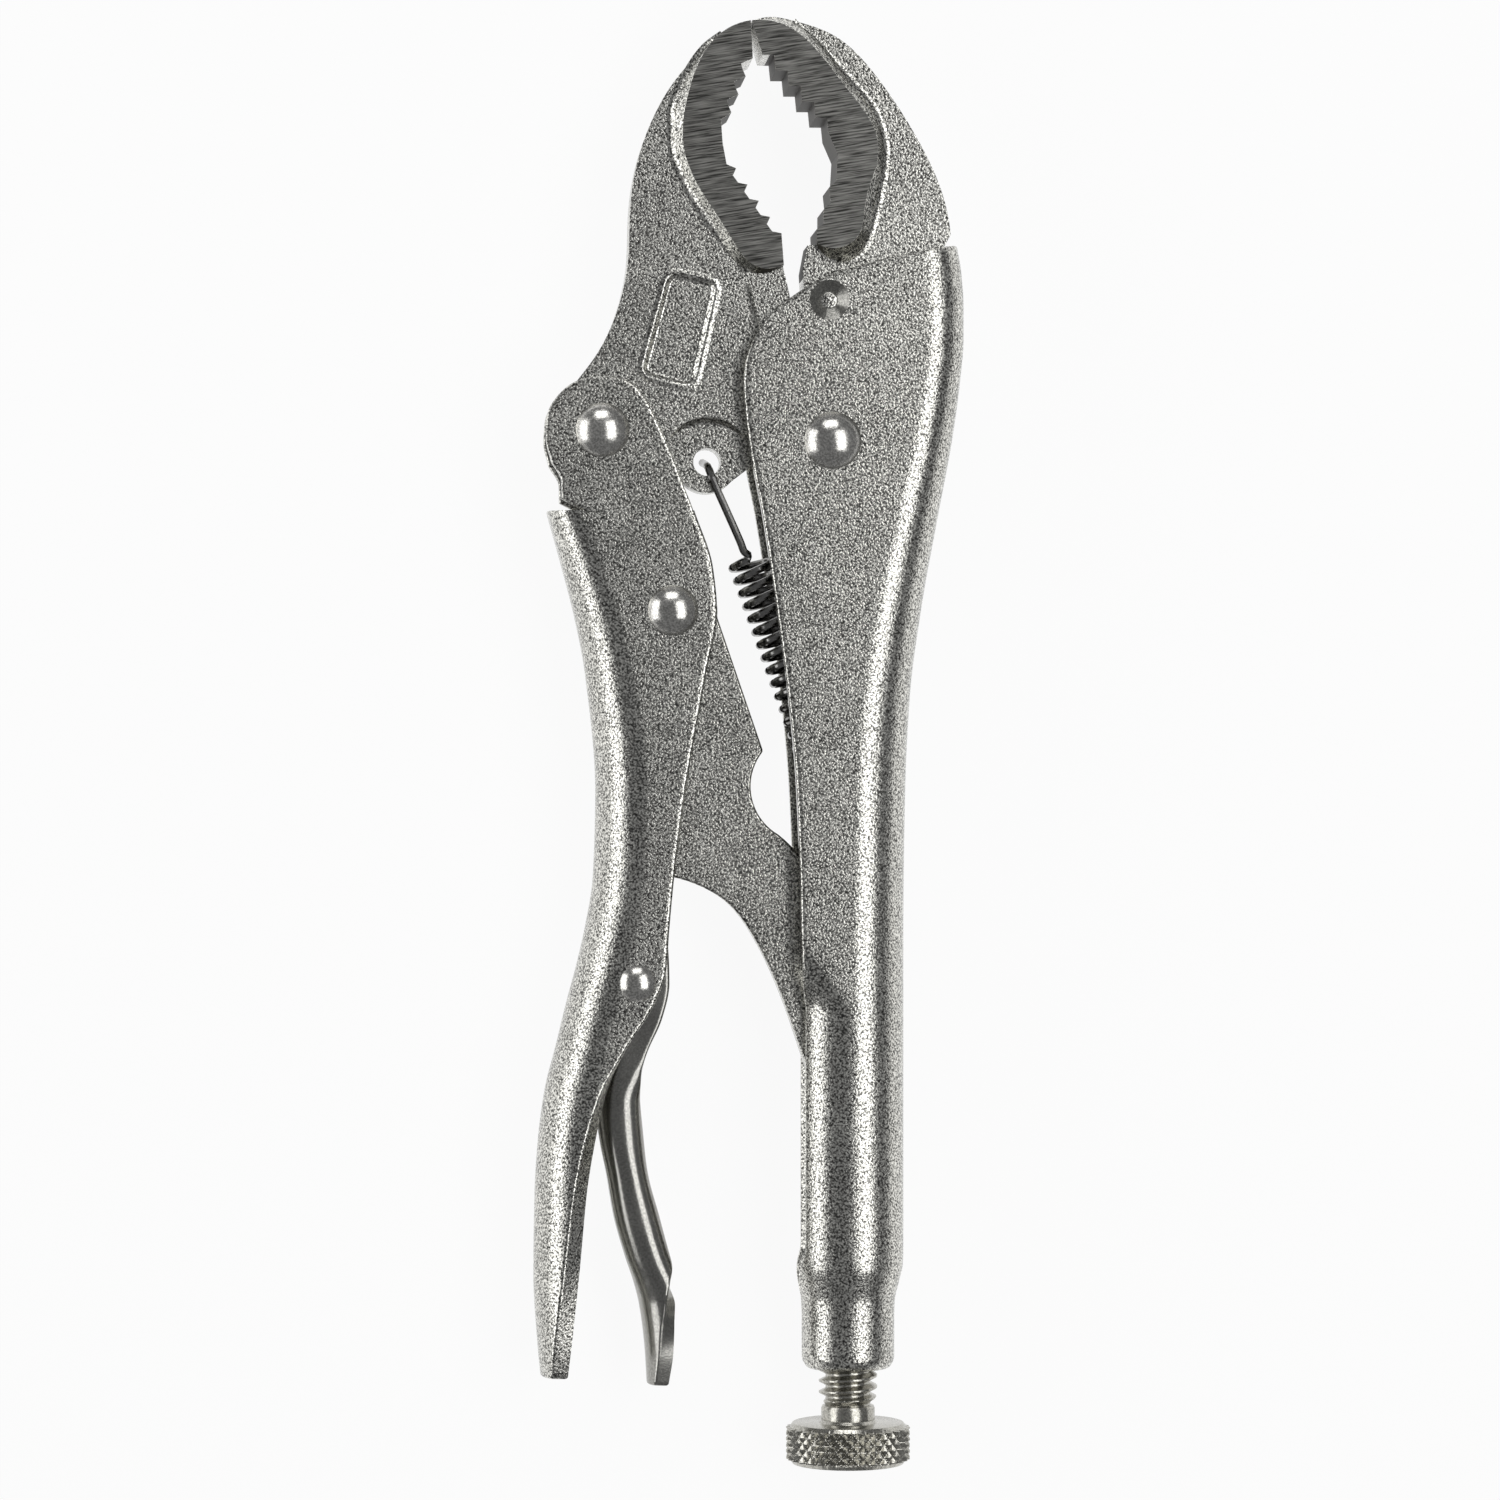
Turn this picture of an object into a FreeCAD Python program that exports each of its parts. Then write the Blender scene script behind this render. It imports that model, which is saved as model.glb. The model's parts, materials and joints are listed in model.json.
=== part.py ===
# Curved-jaw locking pliers: two riveted jaws, a folded steel body that ends in a tube for
# the adjusting screw, a folded grip handle, a toggle link, a release lever and a spring.
# The pliers lie flat: +Y runs along the tool to the jaw tips, +Z is the rivet direction.
# Everything is drawn about the main pivot and moved to the frame's origin at the end.
import FreeCAD
import Part
import math
import os

Vector = FreeCAD.Vector

# Driving dimensions, in millimetres -------------------------------------------------------

# Pivot centres, and the line of the adjusting screw
MAIN_PIVOT = (0.0, 0.0)
JAW_HANDLE_PIVOT = (-28.8, 1.2)
LINK_PIVOT = (-20.0, -21.3)
LEVER_PIVOT = (-24.4, -67.9)
LINK_TIP = (2.2, -84.0)
SCREW_AXIS_X = 2.5

# Folded sheet parts
SHEET = 1.85                    # wall of the fixed handle and of the lower handle
LEVER_SHEET = 1.6               # wall of the release lever
HANDLE_HALF_WIDTH = 7.0         # fixed handle, half its width over the two flanges
GRIP_HALF_WIDTH = 6.6           # lower handle, half its width
LEVER_PLAY = 0.4                # the release lever inside the lower handle, on each side
SIDE_PLAY = 0.15                # a swinging part between two flanges, on each side
PIVOT_PLAY = 0.05               # a bore over its rivet, on the radius

# Tube, nose and adjusting screw
TUBE_START_Y = -62.0            # the flanges begin to curl in
TUBE_FULL_Y = -72.0             # the flanges are fully curled
TUBE_END_Y = -103.4
TUBE_CURL = 57.0                # degrees that each flange is curled past flat
SHOULDER_LENGTH = 5.3
NOSE_LENGTH = 8.2
NOSE_RADIUS = 5.85
NOSE_ROUND = 1.1
THREAD_RADIUS = 3.7
THREAD_PITCH = 1.411            # 18 threads to the inch
THREAD_DEPTH = 0.85
THREAD_PLAY = 0.08              # bore of the nose over the thread crests
SCREW_TIP_GAP = 3.0             # from the round end of the link to the screw's tip
SCREW_SHOWING = 6.9             # from the nose to the knob
NECK_RADIUS = 3.4
NECK_LENGTH = 2.2
KNOB_RADIUS = 7.85
KNOB_LENGTH = 5.2
KNOB_CHAMFER = 0.5

# Jaws
JAW_HALF_BODY = 3.4
JAW_HALF_PAD = 4.9
EYE_RADIUS = 8.3
JAW_LOBE_RADIUS = 6.4
PANEL_DEPTH = 0.4
SPRING_LOBE_HALF = 2.4
SPRING_HOLE = (-15.5, -2.5)
SPRING_HOLE_RADIUS = 1.75
SPRING_LOBE_RADIUS = 3.9
SPRING_RECESS_RADIUS = 5.6
SPINE_GAP = 0.4                 # the fixed jaw's body clears the inside of the spine
BEND_CLEAR = 0.2                # its full-width tang stops short of the spine's bends

# Link
LINK_HALF = 2.2
LINK_BOSS_RADIUS = 5.2
LINK_TIP_RADIUS = 3.0

# Rivets: shank radius, head radius, height of the dome
MAIN_RIVET = (2.6, 3.575, 1.9)
JAW_HANDLE_RIVET = (2.4, 3.375, 1.8)
LINK_RIVET = (2.2, 3.15, 1.7)
LEVER_RIVET = (1.5, 2.275, 1.1)

# The pin of the fixed jaw, at the bottom of a cone pressed into each flange
JAW_PIN = (-0.4, 17.6)
JAW_PIN_RADIUS = 1.1
DIMPLE_RADIUS = 2.5
DIMPLE_DEPTH = 0.9

# Spring
SPRING_WIRE = 1.1
SPRING_COIL_RADIUS = 2.7        # to the middle of the wire
SPRING_PITCH = 1.72
SPRING_TURNS = 17
SPRING_TOP = (-9.95, -14.1)
SPRING_TILT = 19.6              # degrees from -Y towards +X
SPRING_TAB = (5.2, 2.6, 1.3)    # tab of the fixed handle that holds it: length, width, wall

NOSE_END_Y = TUBE_END_Y - SHOULDER_LENGTH - NOSE_LENGTH
HANDLE_INNER = HANDLE_HALF_WIDTH - SHEET
GRIP_INNER = GRIP_HALF_WIDTH - SHEET
LEVER_HALF_WIDTH = GRIP_INNER - LEVER_PLAY
LEVER_INNER = LEVER_HALF_WIDTH - LEVER_SHEET

# Spine of each folded part: y, x of the outer face of the spine, and the radius of its two
# bends as a share of the half width, where a full-round spine is just under 1
ROUND = 0.985
TUBE_SPINE_X = SCREW_AXIS_X + HANDLE_HALF_WIDTH
HANDLE_SPINE = [(27.0, 15.9, 0.66), (18.6, 16.9, 0.69), (8.0, 16.55, 0.71), (-2.7, 15.0, 0.77),
                (-13.4, 13.05, 0.83), (-24.7, 11.1, 0.89), (-36.0, 10.0, 0.93),
                (-48.0, TUBE_SPINE_X + 0.1, 0.96), (TUBE_START_Y, TUBE_SPINE_X, ROUND)]
GRIP_SPINE = [(-8.8, -35.6, 0.6), (-16.0, -33.65, 0.76), (-29.1, -30.8, 0.91),
              (-44.0, -29.5, ROUND), (-57.2, -30.15, ROUND), (-68.6, -32.7, ROUND),
              (-81.2, -35.8, ROUND), (-93.4, -37.1, ROUND), (-104.0, -37.35, ROUND),
              (-117.6, -36.4, ROUND)]
LEVER_SPINE = [(-59.0, -27.8, ROUND), (-68.0, -29.2, ROUND), (-80.0, -29.6, ROUND),
               (-87.7, -29.0, ROUND), (-97.5, -27.2, ROUND), (-108.6, -24.0, ROUND),
               (-118.8, -22.8, ROUND)]
FLANGE_REACH = 30.0             # the flanges are folded long and trimmed to their outline


# Drawing helpers --------------------------------------------------------------------------

def at(point, z=0.0):
    return Vector(point[0], point[1], z)


def polar(centre, radius, degrees):
    turn = math.radians(degrees)
    return (centre[0] + radius * math.cos(turn), centre[1] + radius * math.sin(turn))


def outline(start, *runs, z=0.0):
    """A closed wire of runs: ("line", points), ("curve", points) or ("arc", middle, end)."""
    edges = []
    last = start
    for kind, *rest in runs:
        if kind == "line":
            for point in rest[0]:
                edges.append(Part.makeLine(at(last, z), at(point, z)))
                last = point
        elif kind == "curve":
            spline = Part.BSplineCurve()
            spline.interpolate([at(last, z)] + [at(point, z) for point in rest[0]])
            edges.append(spline.toShape())
            last = rest[0][-1]
        else:
            edges.append(Part.Arc(at(last, z), at(rest[0], z), at(rest[1], z)).toShape())
            last = rest[1]
    if math.dist(last, start) > 1e-6:
        edges.append(Part.makeLine(at(last, z), at(start, z)))
    return Part.Wire(edges)


def slab(wire, low, high):
    """The wire's area, as a solid from z = low to z = high."""
    solid = Part.Face(wire).extrude(Vector(0, 0, high - low))
    solid.translate(Vector(0, 0, low))
    return solid


def plate(wire, half):
    return slab(wire, -half, half)


def disc(centre, radius, half):
    return Part.makeCylinder(radius, 2 * half, at(centre, -half))


def both_sides(solid):
    return [solid, solid.mirror(Vector(0, 0, 0), Vector(0, 0, 1))]


def one_solid(base, added=(), cut=()):
    shape = base.fuse(list(added)) if added else base
    shape = shape.cut(list(cut)) if cut else shape
    return shape.removeSplitter()


def revolved_y(profile, axis_x):
    """A profile of (radius, y) points, turned about the line x = axis_x, z = 0."""
    points = [Vector(axis_x + radius, y, 0) for radius, y in profile]
    face = Part.Face(Part.makePolygon(points + points[:1]))
    return face.revolve(Vector(axis_x, 0, 0), Vector(0, 1, 0), 360)


# Folded sheet -----------------------------------------------------------------------------

def fold_section(y, spine_x, bend_share, half_width, wall, side, curl=None):
    """One section of a channel, in the plane at y. side is +1 with the spine on the right.

    From the middle of the spine each half runs along the spine, round the bend and along
    the flange. With curl = (x, degrees) the flange ends at x in an arc of that many degrees.
    """
    bend = bend_share * half_width

    def point(away, z):
        return Vector(spine_x - side * away, y, z)

    def half_path(inset, sign):
        radius = bend - inset
        top = half_width - inset
        corner = radius * (1 - math.sqrt(0.5))
        steps = [point(inset + radius, sign * top),
                 point(inset + corner, sign * (top - corner)),
                 point(inset, sign * (top - radius))]
        if curl is None:
            return [point(FLANGE_REACH, sign * top)], steps
        start = side * (spine_x - curl[0])
        bends = [(start + top * math.sin(math.radians(turn)), sign * top * math.cos(math.radians(turn)))
                 for turn in (curl[1], curl[1] / 2, 0)]
        return [point(*place) for place in bends], steps

    def run(inset, sign):
        """Edges from the flange's free end to the spine."""
        end, steps = half_path(inset, sign)
        edges = []
        if len(end) == 3:
            edges.append(Part.Arc(*end).toShape())
        edges.append(Part.makeLine(end[-1], steps[0]))
        edges.append(Part.Arc(*steps).toShape())
        return edges, end[0], steps[2]

    outer_low, outer_low_end, outer_low_spine = run(0, -1)
    outer_high, outer_high_end, outer_high_spine = run(0, 1)
    inner_low, inner_low_end, inner_low_spine = run(wall, -1)
    inner_high, inner_high_end, inner_high_spine = run(wall, 1)
    edges = outer_low + [Part.makeLine(outer_low_spine, outer_high_spine)] + outer_high[::-1]
    edges += [Part.makeLine(outer_high_end, inner_high_end)] + inner_high
    edges += [Part.makeLine(inner_high_spine, inner_low_spine)] + inner_low[::-1]
    edges += [Part.makeLine(inner_low_end, outer_low_end)]
    return Part.Wire(edges)


def folded(spine, half_width, wall, side):
    sections = [fold_section(*station, half_width, wall, side) for station in spine]
    return Part.makeLoft(sections, True, False)


# Fixed handle -----------------------------------------------------------------------------

HANDLE_EDGE = [(-10.1, -2.7), (-8.8, -9.4), (-7.1, -20.6), (-5.6, -31.8), (-4.6, -42.6),
               (-4.1, -54.0)]
TUBE_EDGE_X = -3.95


def fixed_handle():
    beyond = 40.0
    trim = outline((-8.4, 15.0),
                   ("curve", [(-5.4, 17.8), (-1.1, 20.35), (3.3, 21.9), (9.7, 23.35), (15.5, 24.5)]),
                   ("line", [(18.5, 25.6), (beyond, 25.6), (beyond, TUBE_START_Y),
                             (TUBE_EDGE_X, TUBE_START_Y)]),
                   ("curve", HANDLE_EDGE[::-1] + [(-11.0, 4.2), (-11.2, 6.8), (-10.1, 12.4), (-8.4, 15.0)]))
    body = folded(HANDLE_SPINE, HANDLE_HALF_WIDTH, SHEET, 1).common(plate(trim, HANDLE_HALF_WIDTH))

    # The flanges curl in to a tube round the screw's axis, open along its left side.
    curls = [(TUBE_START_Y, TUBE_EDGE_X + 0.1, 1.0),
             ((TUBE_START_Y + TUBE_FULL_Y) / 2, (TUBE_EDGE_X + SCREW_AXIS_X) / 2, TUBE_CURL / 2),
             (TUBE_FULL_Y, SCREW_AXIS_X, TUBE_CURL), (TUBE_END_Y, SCREW_AXIS_X, TUBE_CURL)]
    tube = Part.makeLoft([fold_section(y, TUBE_SPINE_X, ROUND, HANDLE_HALF_WIDTH, SHEET, 1, (x, turn))
                          for y, x, turn in curls], True, True)

    # The tube is drawn down to a nose that carries the screw.
    bore = THREAD_RADIUS + THREAD_PLAY
    shoulder_y = TUBE_END_Y - SHOULDER_LENGTH
    nose = revolved_y([(HANDLE_HALF_WIDTH, TUBE_END_Y),
                       (HANDLE_HALF_WIDTH - 0.25, TUBE_END_Y - SHOULDER_LENGTH * 0.35),
                       (NOSE_RADIUS + 0.25, TUBE_END_Y - SHOULDER_LENGTH * 0.8),
                       (NOSE_RADIUS, shoulder_y),
                       (NOSE_RADIUS, NOSE_END_Y + NOSE_ROUND),
                       (NOSE_RADIUS - NOSE_ROUND * 0.3, NOSE_END_Y + NOSE_ROUND * 0.3),
                       (NOSE_RADIUS - NOSE_ROUND, NOSE_END_Y),
                       (bore, NOSE_END_Y), (bore, shoulder_y + SHEET),
                       (HANDLE_INNER, TUBE_END_Y)], SCREW_AXIS_X)

    # A lanced tab, turned in from the spine, holds the lower hook of the spring.
    length, width, wall = SPRING_TAB
    tab_y = spring_end()[1] - SPRING_WIRE / 2 - wall
    root_x = spine_at(HANDLE_SPINE, tab_y) - SHEET / 2
    tab = Part.makeBox(length, wall, width, Vector(root_x - length, tab_y, -width / 2))

    holes = [disc(MAIN_PIVOT, MAIN_RIVET[0], HANDLE_HALF_WIDTH + 1),
             disc(JAW_PIN, JAW_PIN_RADIUS, HANDLE_HALF_WIDTH + 1)]
    dimple = Part.makeCone(JAW_PIN_RADIUS, DIMPLE_RADIUS, DIMPLE_DEPTH,
                           at(JAW_PIN, HANDLE_HALF_WIDTH - DIMPLE_DEPTH))
    return one_solid(body, [tube, nose, tab], holes + both_sides(dimple))


def spine_at(spine, y):
    """x of a spine's outer face at y, on straight runs between its stations."""
    for (y1, x1, _), (y2, x2, _) in zip(spine, spine[1:]):
        if y1 >= y >= y2:
            return x1 + (x2 - x1) * (y1 - y) / (y1 - y2)
    return spine[-1][1]


# Jaws -------------------------------------------------------------------------------------

def saw_teeth(first, last, count, *valley):
    """Tooth tips evenly spaced from first to last, each followed by its valley points."""
    step = [(last[i] - first[i]) / (count - 1) for i in (0, 1)]
    points = []
    for number in range(count):
        tip = (first[0] + number * step[0], first[1] + number * step[1])
        points.append(tip)
        if number < count - 1:
            points += [(tip[0] + dx, tip[1] + dy) for dx, dy in valley]
    return points


def raised_pad(tooth_points, top_curve, foot_curve):
    """A gripping pad, standing out of the jaw's body with a sloping shoulder."""
    wires = []
    for curve, z in ((foot_curve, JAW_HALF_BODY / 2), (foot_curve, JAW_HALF_BODY),
                     (top_curve, JAW_HALF_PAD)):
        wires.append(outline(tooth_points[0], ("line", tooth_points[1:]), ("curve", curve), z=z))
    return Part.makeLoft(wires, True, True)


FIXED_TEETH = ([(-1.8, 24.85), (-1.9, 26.6), (-1.0, 27.3), (-1.0, 29.1), (-0.1, 29.9), (-0.3, 31.9),
                (0.6, 32.7), (0.8, 36.0)]
               + saw_teeth((-0.35, 38.65), (-8.7, 48.45), 6, (-0.2, 1.96)) + [(-10.0, 52.8)])
MOVING_TEETH = ([(-10.15, 52.8)]
                + saw_teeth((-9.9, 48.0), (-12.6, 41.2), 4, (-1.45, -0.65), (-1.3, -1.35))
                + [(-13.9, 40.3), (-13.7, 37.4), (-13.2, 34.7)]
                + saw_teeth((-12.0, 34.2), (-6.3, 26.1), 5, (-0.4, -0.9), (0.25, -1.8))
                + [(-6.0, 22.1)])


def fixed_jaw():
    def inside(y):
        return (spine_at(HANDLE_SPINE, y) - SHEET - SPINE_GAP, y)

    # The body, with the tang that sits in the channel of the fixed handle
    body = plate(outline(FIXED_TEETH[0],
                         ("line", FIXED_TEETH[1:]),
                         ("curve", [(-7.7, 53.45), (-4.9, 53.05), (0.6, 51.1), (5.8, 46.1),
                                    (10.6, 38.95), (14.3, 30.9), (15.2, 26.2)]),
                         ("line", [inside(24.0), inside(18.6), inside(8.0), (-0.5, 11.0), (-3.2, 16.0),
                                   (-3.5, 21.6), (-2.9, 24.75)])), JAW_HALF_BODY)

    def flat(y):
        widest = max(share for _, _, share in HANDLE_SPINE[:3]) * HANDLE_HALF_WIDTH
        return (spine_at(HANDLE_SPINE, y) - widest - BEND_CLEAR, y)

    tang = plate(outline((-3.3, 18.4), ("line", [(3.3, 21.2), (9.7, 22.6), flat(22.8), flat(8.4),
                                                 (-0.5, 11.0), (-3.2, 16.0)])), HANDLE_INNER)
    pad = raised_pad(FIXED_TEETH,
                     [(-6.6, 52.5), (2.2, 44.0), (5.55, 38.9), (5.8, 35.3), (4.4, 30.7), (3.1, 25.5),
                      (1.0, 24.35), FIXED_TEETH[0]],
                     [(-4.8, 52.85), (2.8, 45.3), (5.9, 41.2), (7.0, 36.5), (6.0, 30.0), (4.0, 24.25),
                      (1.4, 22.9), FIXED_TEETH[0]])
    return one_solid(body, [tang] + both_sides(pad), [disc(JAW_PIN, JAW_PIN_RADIUS, HANDLE_HALF_WIDTH)])


def moving_jaw():
    lobe = JAW_HANDLE_PIVOT
    right_edge = [(-5.35, 18.6), (-4.8, 15.5), (-4.0, 11.0), polar(MAIN_PIVOT, EYE_RADIUS, 112)]
    recess = [polar(SPRING_HOLE, SPRING_RECESS_RADIUS, angle) for angle in (152, 90, 31)]
    body = plate(outline(MOVING_TEETH[0],
                         ("line", MOVING_TEETH[1:] + right_edge),
                         ("arc", polar(MAIN_PIVOT, EYE_RADIUS, -30), polar(MAIN_PIVOT, EYE_RADIUS, 195)),
                         ("line", [recess[2]]),
                         ("arc", recess[1], recess[0]),
                         ("line", [polar(lobe, JAW_LOBE_RADIUS, 285)]),
                         ("arc", polar(lobe, JAW_LOBE_RADIUS, 210), polar(lobe, JAW_LOBE_RADIUS, 140)),
                         ("curve", [(-31.1, 8.6), (-29.5, 10.8), (-26.8, 16.6), (-25.5, 22.7),
                                    (-25.3, 27.9), (-24.7, 33.5), (-22.9, 39.4), (-20.0, 44.8),
                                    (-16.3, 49.1), (-12.2, 52.2), MOVING_TEETH[0]])), JAW_HALF_BODY)

    # The eye on the main rivet fills the channel of the fixed handle.
    eye = plate(outline((-5.9, 21.0),
                        ("line", right_edge),
                        ("arc", polar(MAIN_PIVOT, EYE_RADIUS, -30), polar(MAIN_PIVOT, EYE_RADIUS, 180)),
                        ("line", [(-8.9, 14.2), (-10.3, 19.9)])), HANDLE_INNER - SIDE_PLAY)
    boss = disc(lobe, JAW_LOBE_RADIUS, GRIP_INNER - SIDE_PLAY)
    pad = raised_pad(MOVING_TEETH,
                     [(-9.6, 22.0), (-13.3, 26.6), (-16.6, 31.7), (-18.5, 36.3), (-18.65, 40.0),
                      (-17.9, 44.0), (-15.1, 50.0), MOVING_TEETH[0]],
                     [(-10.4, 21.5), (-15.0, 27.05), (-18.4, 32.5), (-20.0, 37.0), (-20.1, 41.2),
                      (-18.9, 44.6), (-15.9, 49.4), MOVING_TEETH[0]])
    web = plate(outline(recess[0], ("line", [polar(SPRING_HOLE, SPRING_LOBE_RADIUS, 205)]),
                        ("arc", polar(SPRING_HOLE, SPRING_LOBE_RADIUS, 265),
                         polar(SPRING_HOLE, SPRING_LOBE_RADIUS, 320)),
                        ("line", [(-7.6, -1.2), (-9.0, 4.5), (-20.0, 4.5)])), SPRING_LOBE_HALF)
    panel = slab(outline((-20.4, 21.4), ("line", [(-14.15, 20.1), (-17.2, 6.7), (-24.0, 8.4)])),
                 JAW_HALF_BODY - PANEL_DEPTH, JAW_HALF_BODY + 1)
    holes = [disc(MAIN_PIVOT, MAIN_RIVET[0] + PIVOT_PLAY, HANDLE_HALF_WIDTH),
             disc(lobe, JAW_HANDLE_RIVET[0] + PIVOT_PLAY, HANDLE_HALF_WIDTH),
             disc(SPRING_HOLE, SPRING_HOLE_RADIUS, HANDLE_HALF_WIDTH)]
    return one_solid(body, [eye, boss, web] + both_sides(pad), holes + both_sides(panel))


# Lower handle, link and release lever -----------------------------------------------------

def lower_handle():
    edge = [(-22.2, 1.6), (-20.7, -0.4), (-18.75, -5.5), (-16.6, -10.3), (-15.2, -14.6),
            (-14.45, -20.5), (-14.7, -25.0), (-16.6, -32.7), (-18.3, -43.3), (-19.8, -54.5),
            (-20.5, -62.6), (-20.7, -66.5)]
    tail = [(-22.2, -70.3), (-25.65, -76.0), (-28.6, -81.6), (-30.9, -88.0), (-32.0, -96.0),
            (-32.6, -106.0), (-34.0, -117.6)]
    lobe = JAW_HANDLE_PIVOT
    beyond = -50.0
    trim = outline((beyond, -8.8), ("line", [(-18.0, -8.8), edge[3]]),
                   ("curve", edge[4:] + tail), ("line", [(beyond, -117.6)]))
    channel = folded(GRIP_SPINE, GRIP_HALF_WIDTH, SHEET, -1).common(plate(trim, GRIP_HALF_WIDTH))

    # Two ears on the jaw's rivet, flat from the relief notch up
    ear = slab(outline(polar(lobe, 7.2, 188), ("arc", polar(lobe, 6.9, 100), polar(lobe, 6.5, 41)),
                       ("curve", edge[:5]), ("line", [(-30.0, -14.6), (-30.2, -9.4), (-34.0, -7.4)]),
                       ("curve", [(-34.0, -5.0), (-35.2, -2.8), polar(lobe, 7.2, 188)])),
               GRIP_INNER, GRIP_HALF_WIDTH)
    holes = [disc(lobe, JAW_HANDLE_RIVET[0], GRIP_HALF_WIDTH + 1),
             disc(LINK_PIVOT, LINK_RIVET[0], GRIP_HALF_WIDTH + 1),
             disc(LEVER_PIVOT, LEVER_RIVET[0], GRIP_HALF_WIDTH + 1)]
    return one_solid(channel, both_sides(ear), holes)


def toggle_link():
    body = plate(outline((-14.2, -22.0),
                         ("line", [(-8.4, -38.9)]),
                         ("arc", (-9.9, -44.4), (-6.5, -49.4)),
                         ("curve", [(-3.4, -52.6), (0.6, -62.0), polar(LINK_TIP, LINK_TIP_RADIUS, 18)]),
                         ("arc", polar(LINK_TIP, LINK_TIP_RADIUS, 285),
                          polar(LINK_TIP, LINK_TIP_RADIUS, 195)),
                         ("curve", [(-4.8, -73.2), (-9.8, -62.0), (-12.8, -58.1), (-15.9, -56.1),
                                    (-19.6, -54.8)]),
                         ("curve", [(-23.0, -52.0), (-24.6, -46.0), (-25.0, -36.0),
                                    polar(LINK_PIVOT, 5.8, 180)]),
                         ("arc", polar(LINK_PIVOT, 5.8, 90), (-14.2, -22.0))), LINK_HALF)
    boss = disc(LINK_PIVOT, LINK_BOSS_RADIUS, GRIP_INNER - SIDE_PLAY)
    return one_solid(body, [boss], [disc(LINK_PIVOT, LINK_RIVET[0] + PIVOT_PLAY, GRIP_HALF_WIDTH)])


def release_lever():
    nose_y = LEVER_SPINE[0][0]
    tail_y = LEVER_SPINE[-1][0]
    beyond = -50.0
    trim = outline((beyond, nose_y), ("line", [(-22.5, nose_y)]),
                   ("curve", [(-20.4, -62.5), (-20.2, -66.5), (-21.2, -72.4), (-22.9, -76.6),
                              (-23.85, -83.0), (-23.0, -92.0), (-21.2, -97.8), (-19.9, -103.0),
                              (-19.5, -108.4), (-20.1, -114.3), (-21.3, tail_y)]),
                   ("line", [(beyond, tail_y)]))
    channel = folded(LEVER_SPINE, LEVER_HALF_WIDTH, LEVER_SHEET, -1).common(plate(trim, LEVER_HALF_WIDTH))
    nose = Part.makeBox(4.6, LEVER_SHEET, 2 * LEVER_INNER + 0.2,
                        Vector(LEVER_SPINE[0][1] + LEVER_SHEET / 2, nose_y - LEVER_SHEET, -LEVER_INNER - 0.1))
    return one_solid(channel, [nose], [disc(LEVER_PIVOT, LEVER_RIVET[0] + PIVOT_PLAY, GRIP_HALF_WIDTH)])


# Rivets, screw and spring -----------------------------------------------------------------

def rivet(centre, size, half_width):
    """One solid: a shank through the flanges and a dome on each side."""
    shank, head, dome = size
    sphere = (head ** 2 + dome ** 2) / (2 * dome)
    cap = Part.makeSphere(sphere, at(centre, half_width + dome - sphere))
    cap = cap.common(Part.makeCylinder(head + 1, dome + 1, at(centre, half_width)))
    return one_solid(disc(centre, shank, half_width), both_sides(cap))


def fixed_jaw_pin():
    return disc(JAW_PIN, JAW_PIN_RADIUS, HANDLE_HALF_WIDTH - DIMPLE_DEPTH)


def adjusting_screw():
    tip_y = LINK_TIP[1] - LINK_TIP_RADIUS - SCREW_TIP_GAP
    knob_y = NOSE_END_Y - SCREW_SHOWING
    root = THREAD_RADIUS - THREAD_DEPTH
    neck_y = knob_y + NECK_LENGTH
    profile = [(0, tip_y), (root - 0.3, tip_y)]
    y = tip_y - 0.5
    while y - THREAD_PITCH > neck_y:
        profile += [(root, y), (THREAD_RADIUS, y - THREAD_PITCH * 0.44),
                    (THREAD_RADIUS, y - THREAD_PITCH * 0.56)]
        y -= THREAD_PITCH
    profile += [(root, y), (NECK_RADIUS, neck_y), (NECK_RADIUS, knob_y),
                (KNOB_RADIUS - KNOB_CHAMFER, knob_y), (KNOB_RADIUS, knob_y - KNOB_CHAMFER),
                (KNOB_RADIUS, knob_y - KNOB_LENGTH + KNOB_CHAMFER),
                (KNOB_RADIUS - KNOB_CHAMFER, knob_y - KNOB_LENGTH), (0, knob_y - KNOB_LENGTH)]
    return revolved_y(profile, SCREW_AXIS_X)


def spring_end():
    """Where the axis of the coil meets its lower end."""
    length = SPRING_PITCH * SPRING_TURNS
    tilt = math.radians(SPRING_TILT)
    return (SPRING_TOP[0] + length * math.sin(tilt), SPRING_TOP[1] - length * math.cos(tilt))


def wire_run(points):
    """Round wire through the points, with a ball at each bend."""
    radius = SPRING_WIRE / 2
    solids = []
    for start, end in zip(points, points[1:]):
        run = end.sub(start)
        solids.append(Part.makeCylinder(radius, run.Length, start, run))
        solids.append(Part.makeSphere(radius, end))
    solids.append(Part.makeSphere(radius, points[0]))
    return solids


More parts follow.
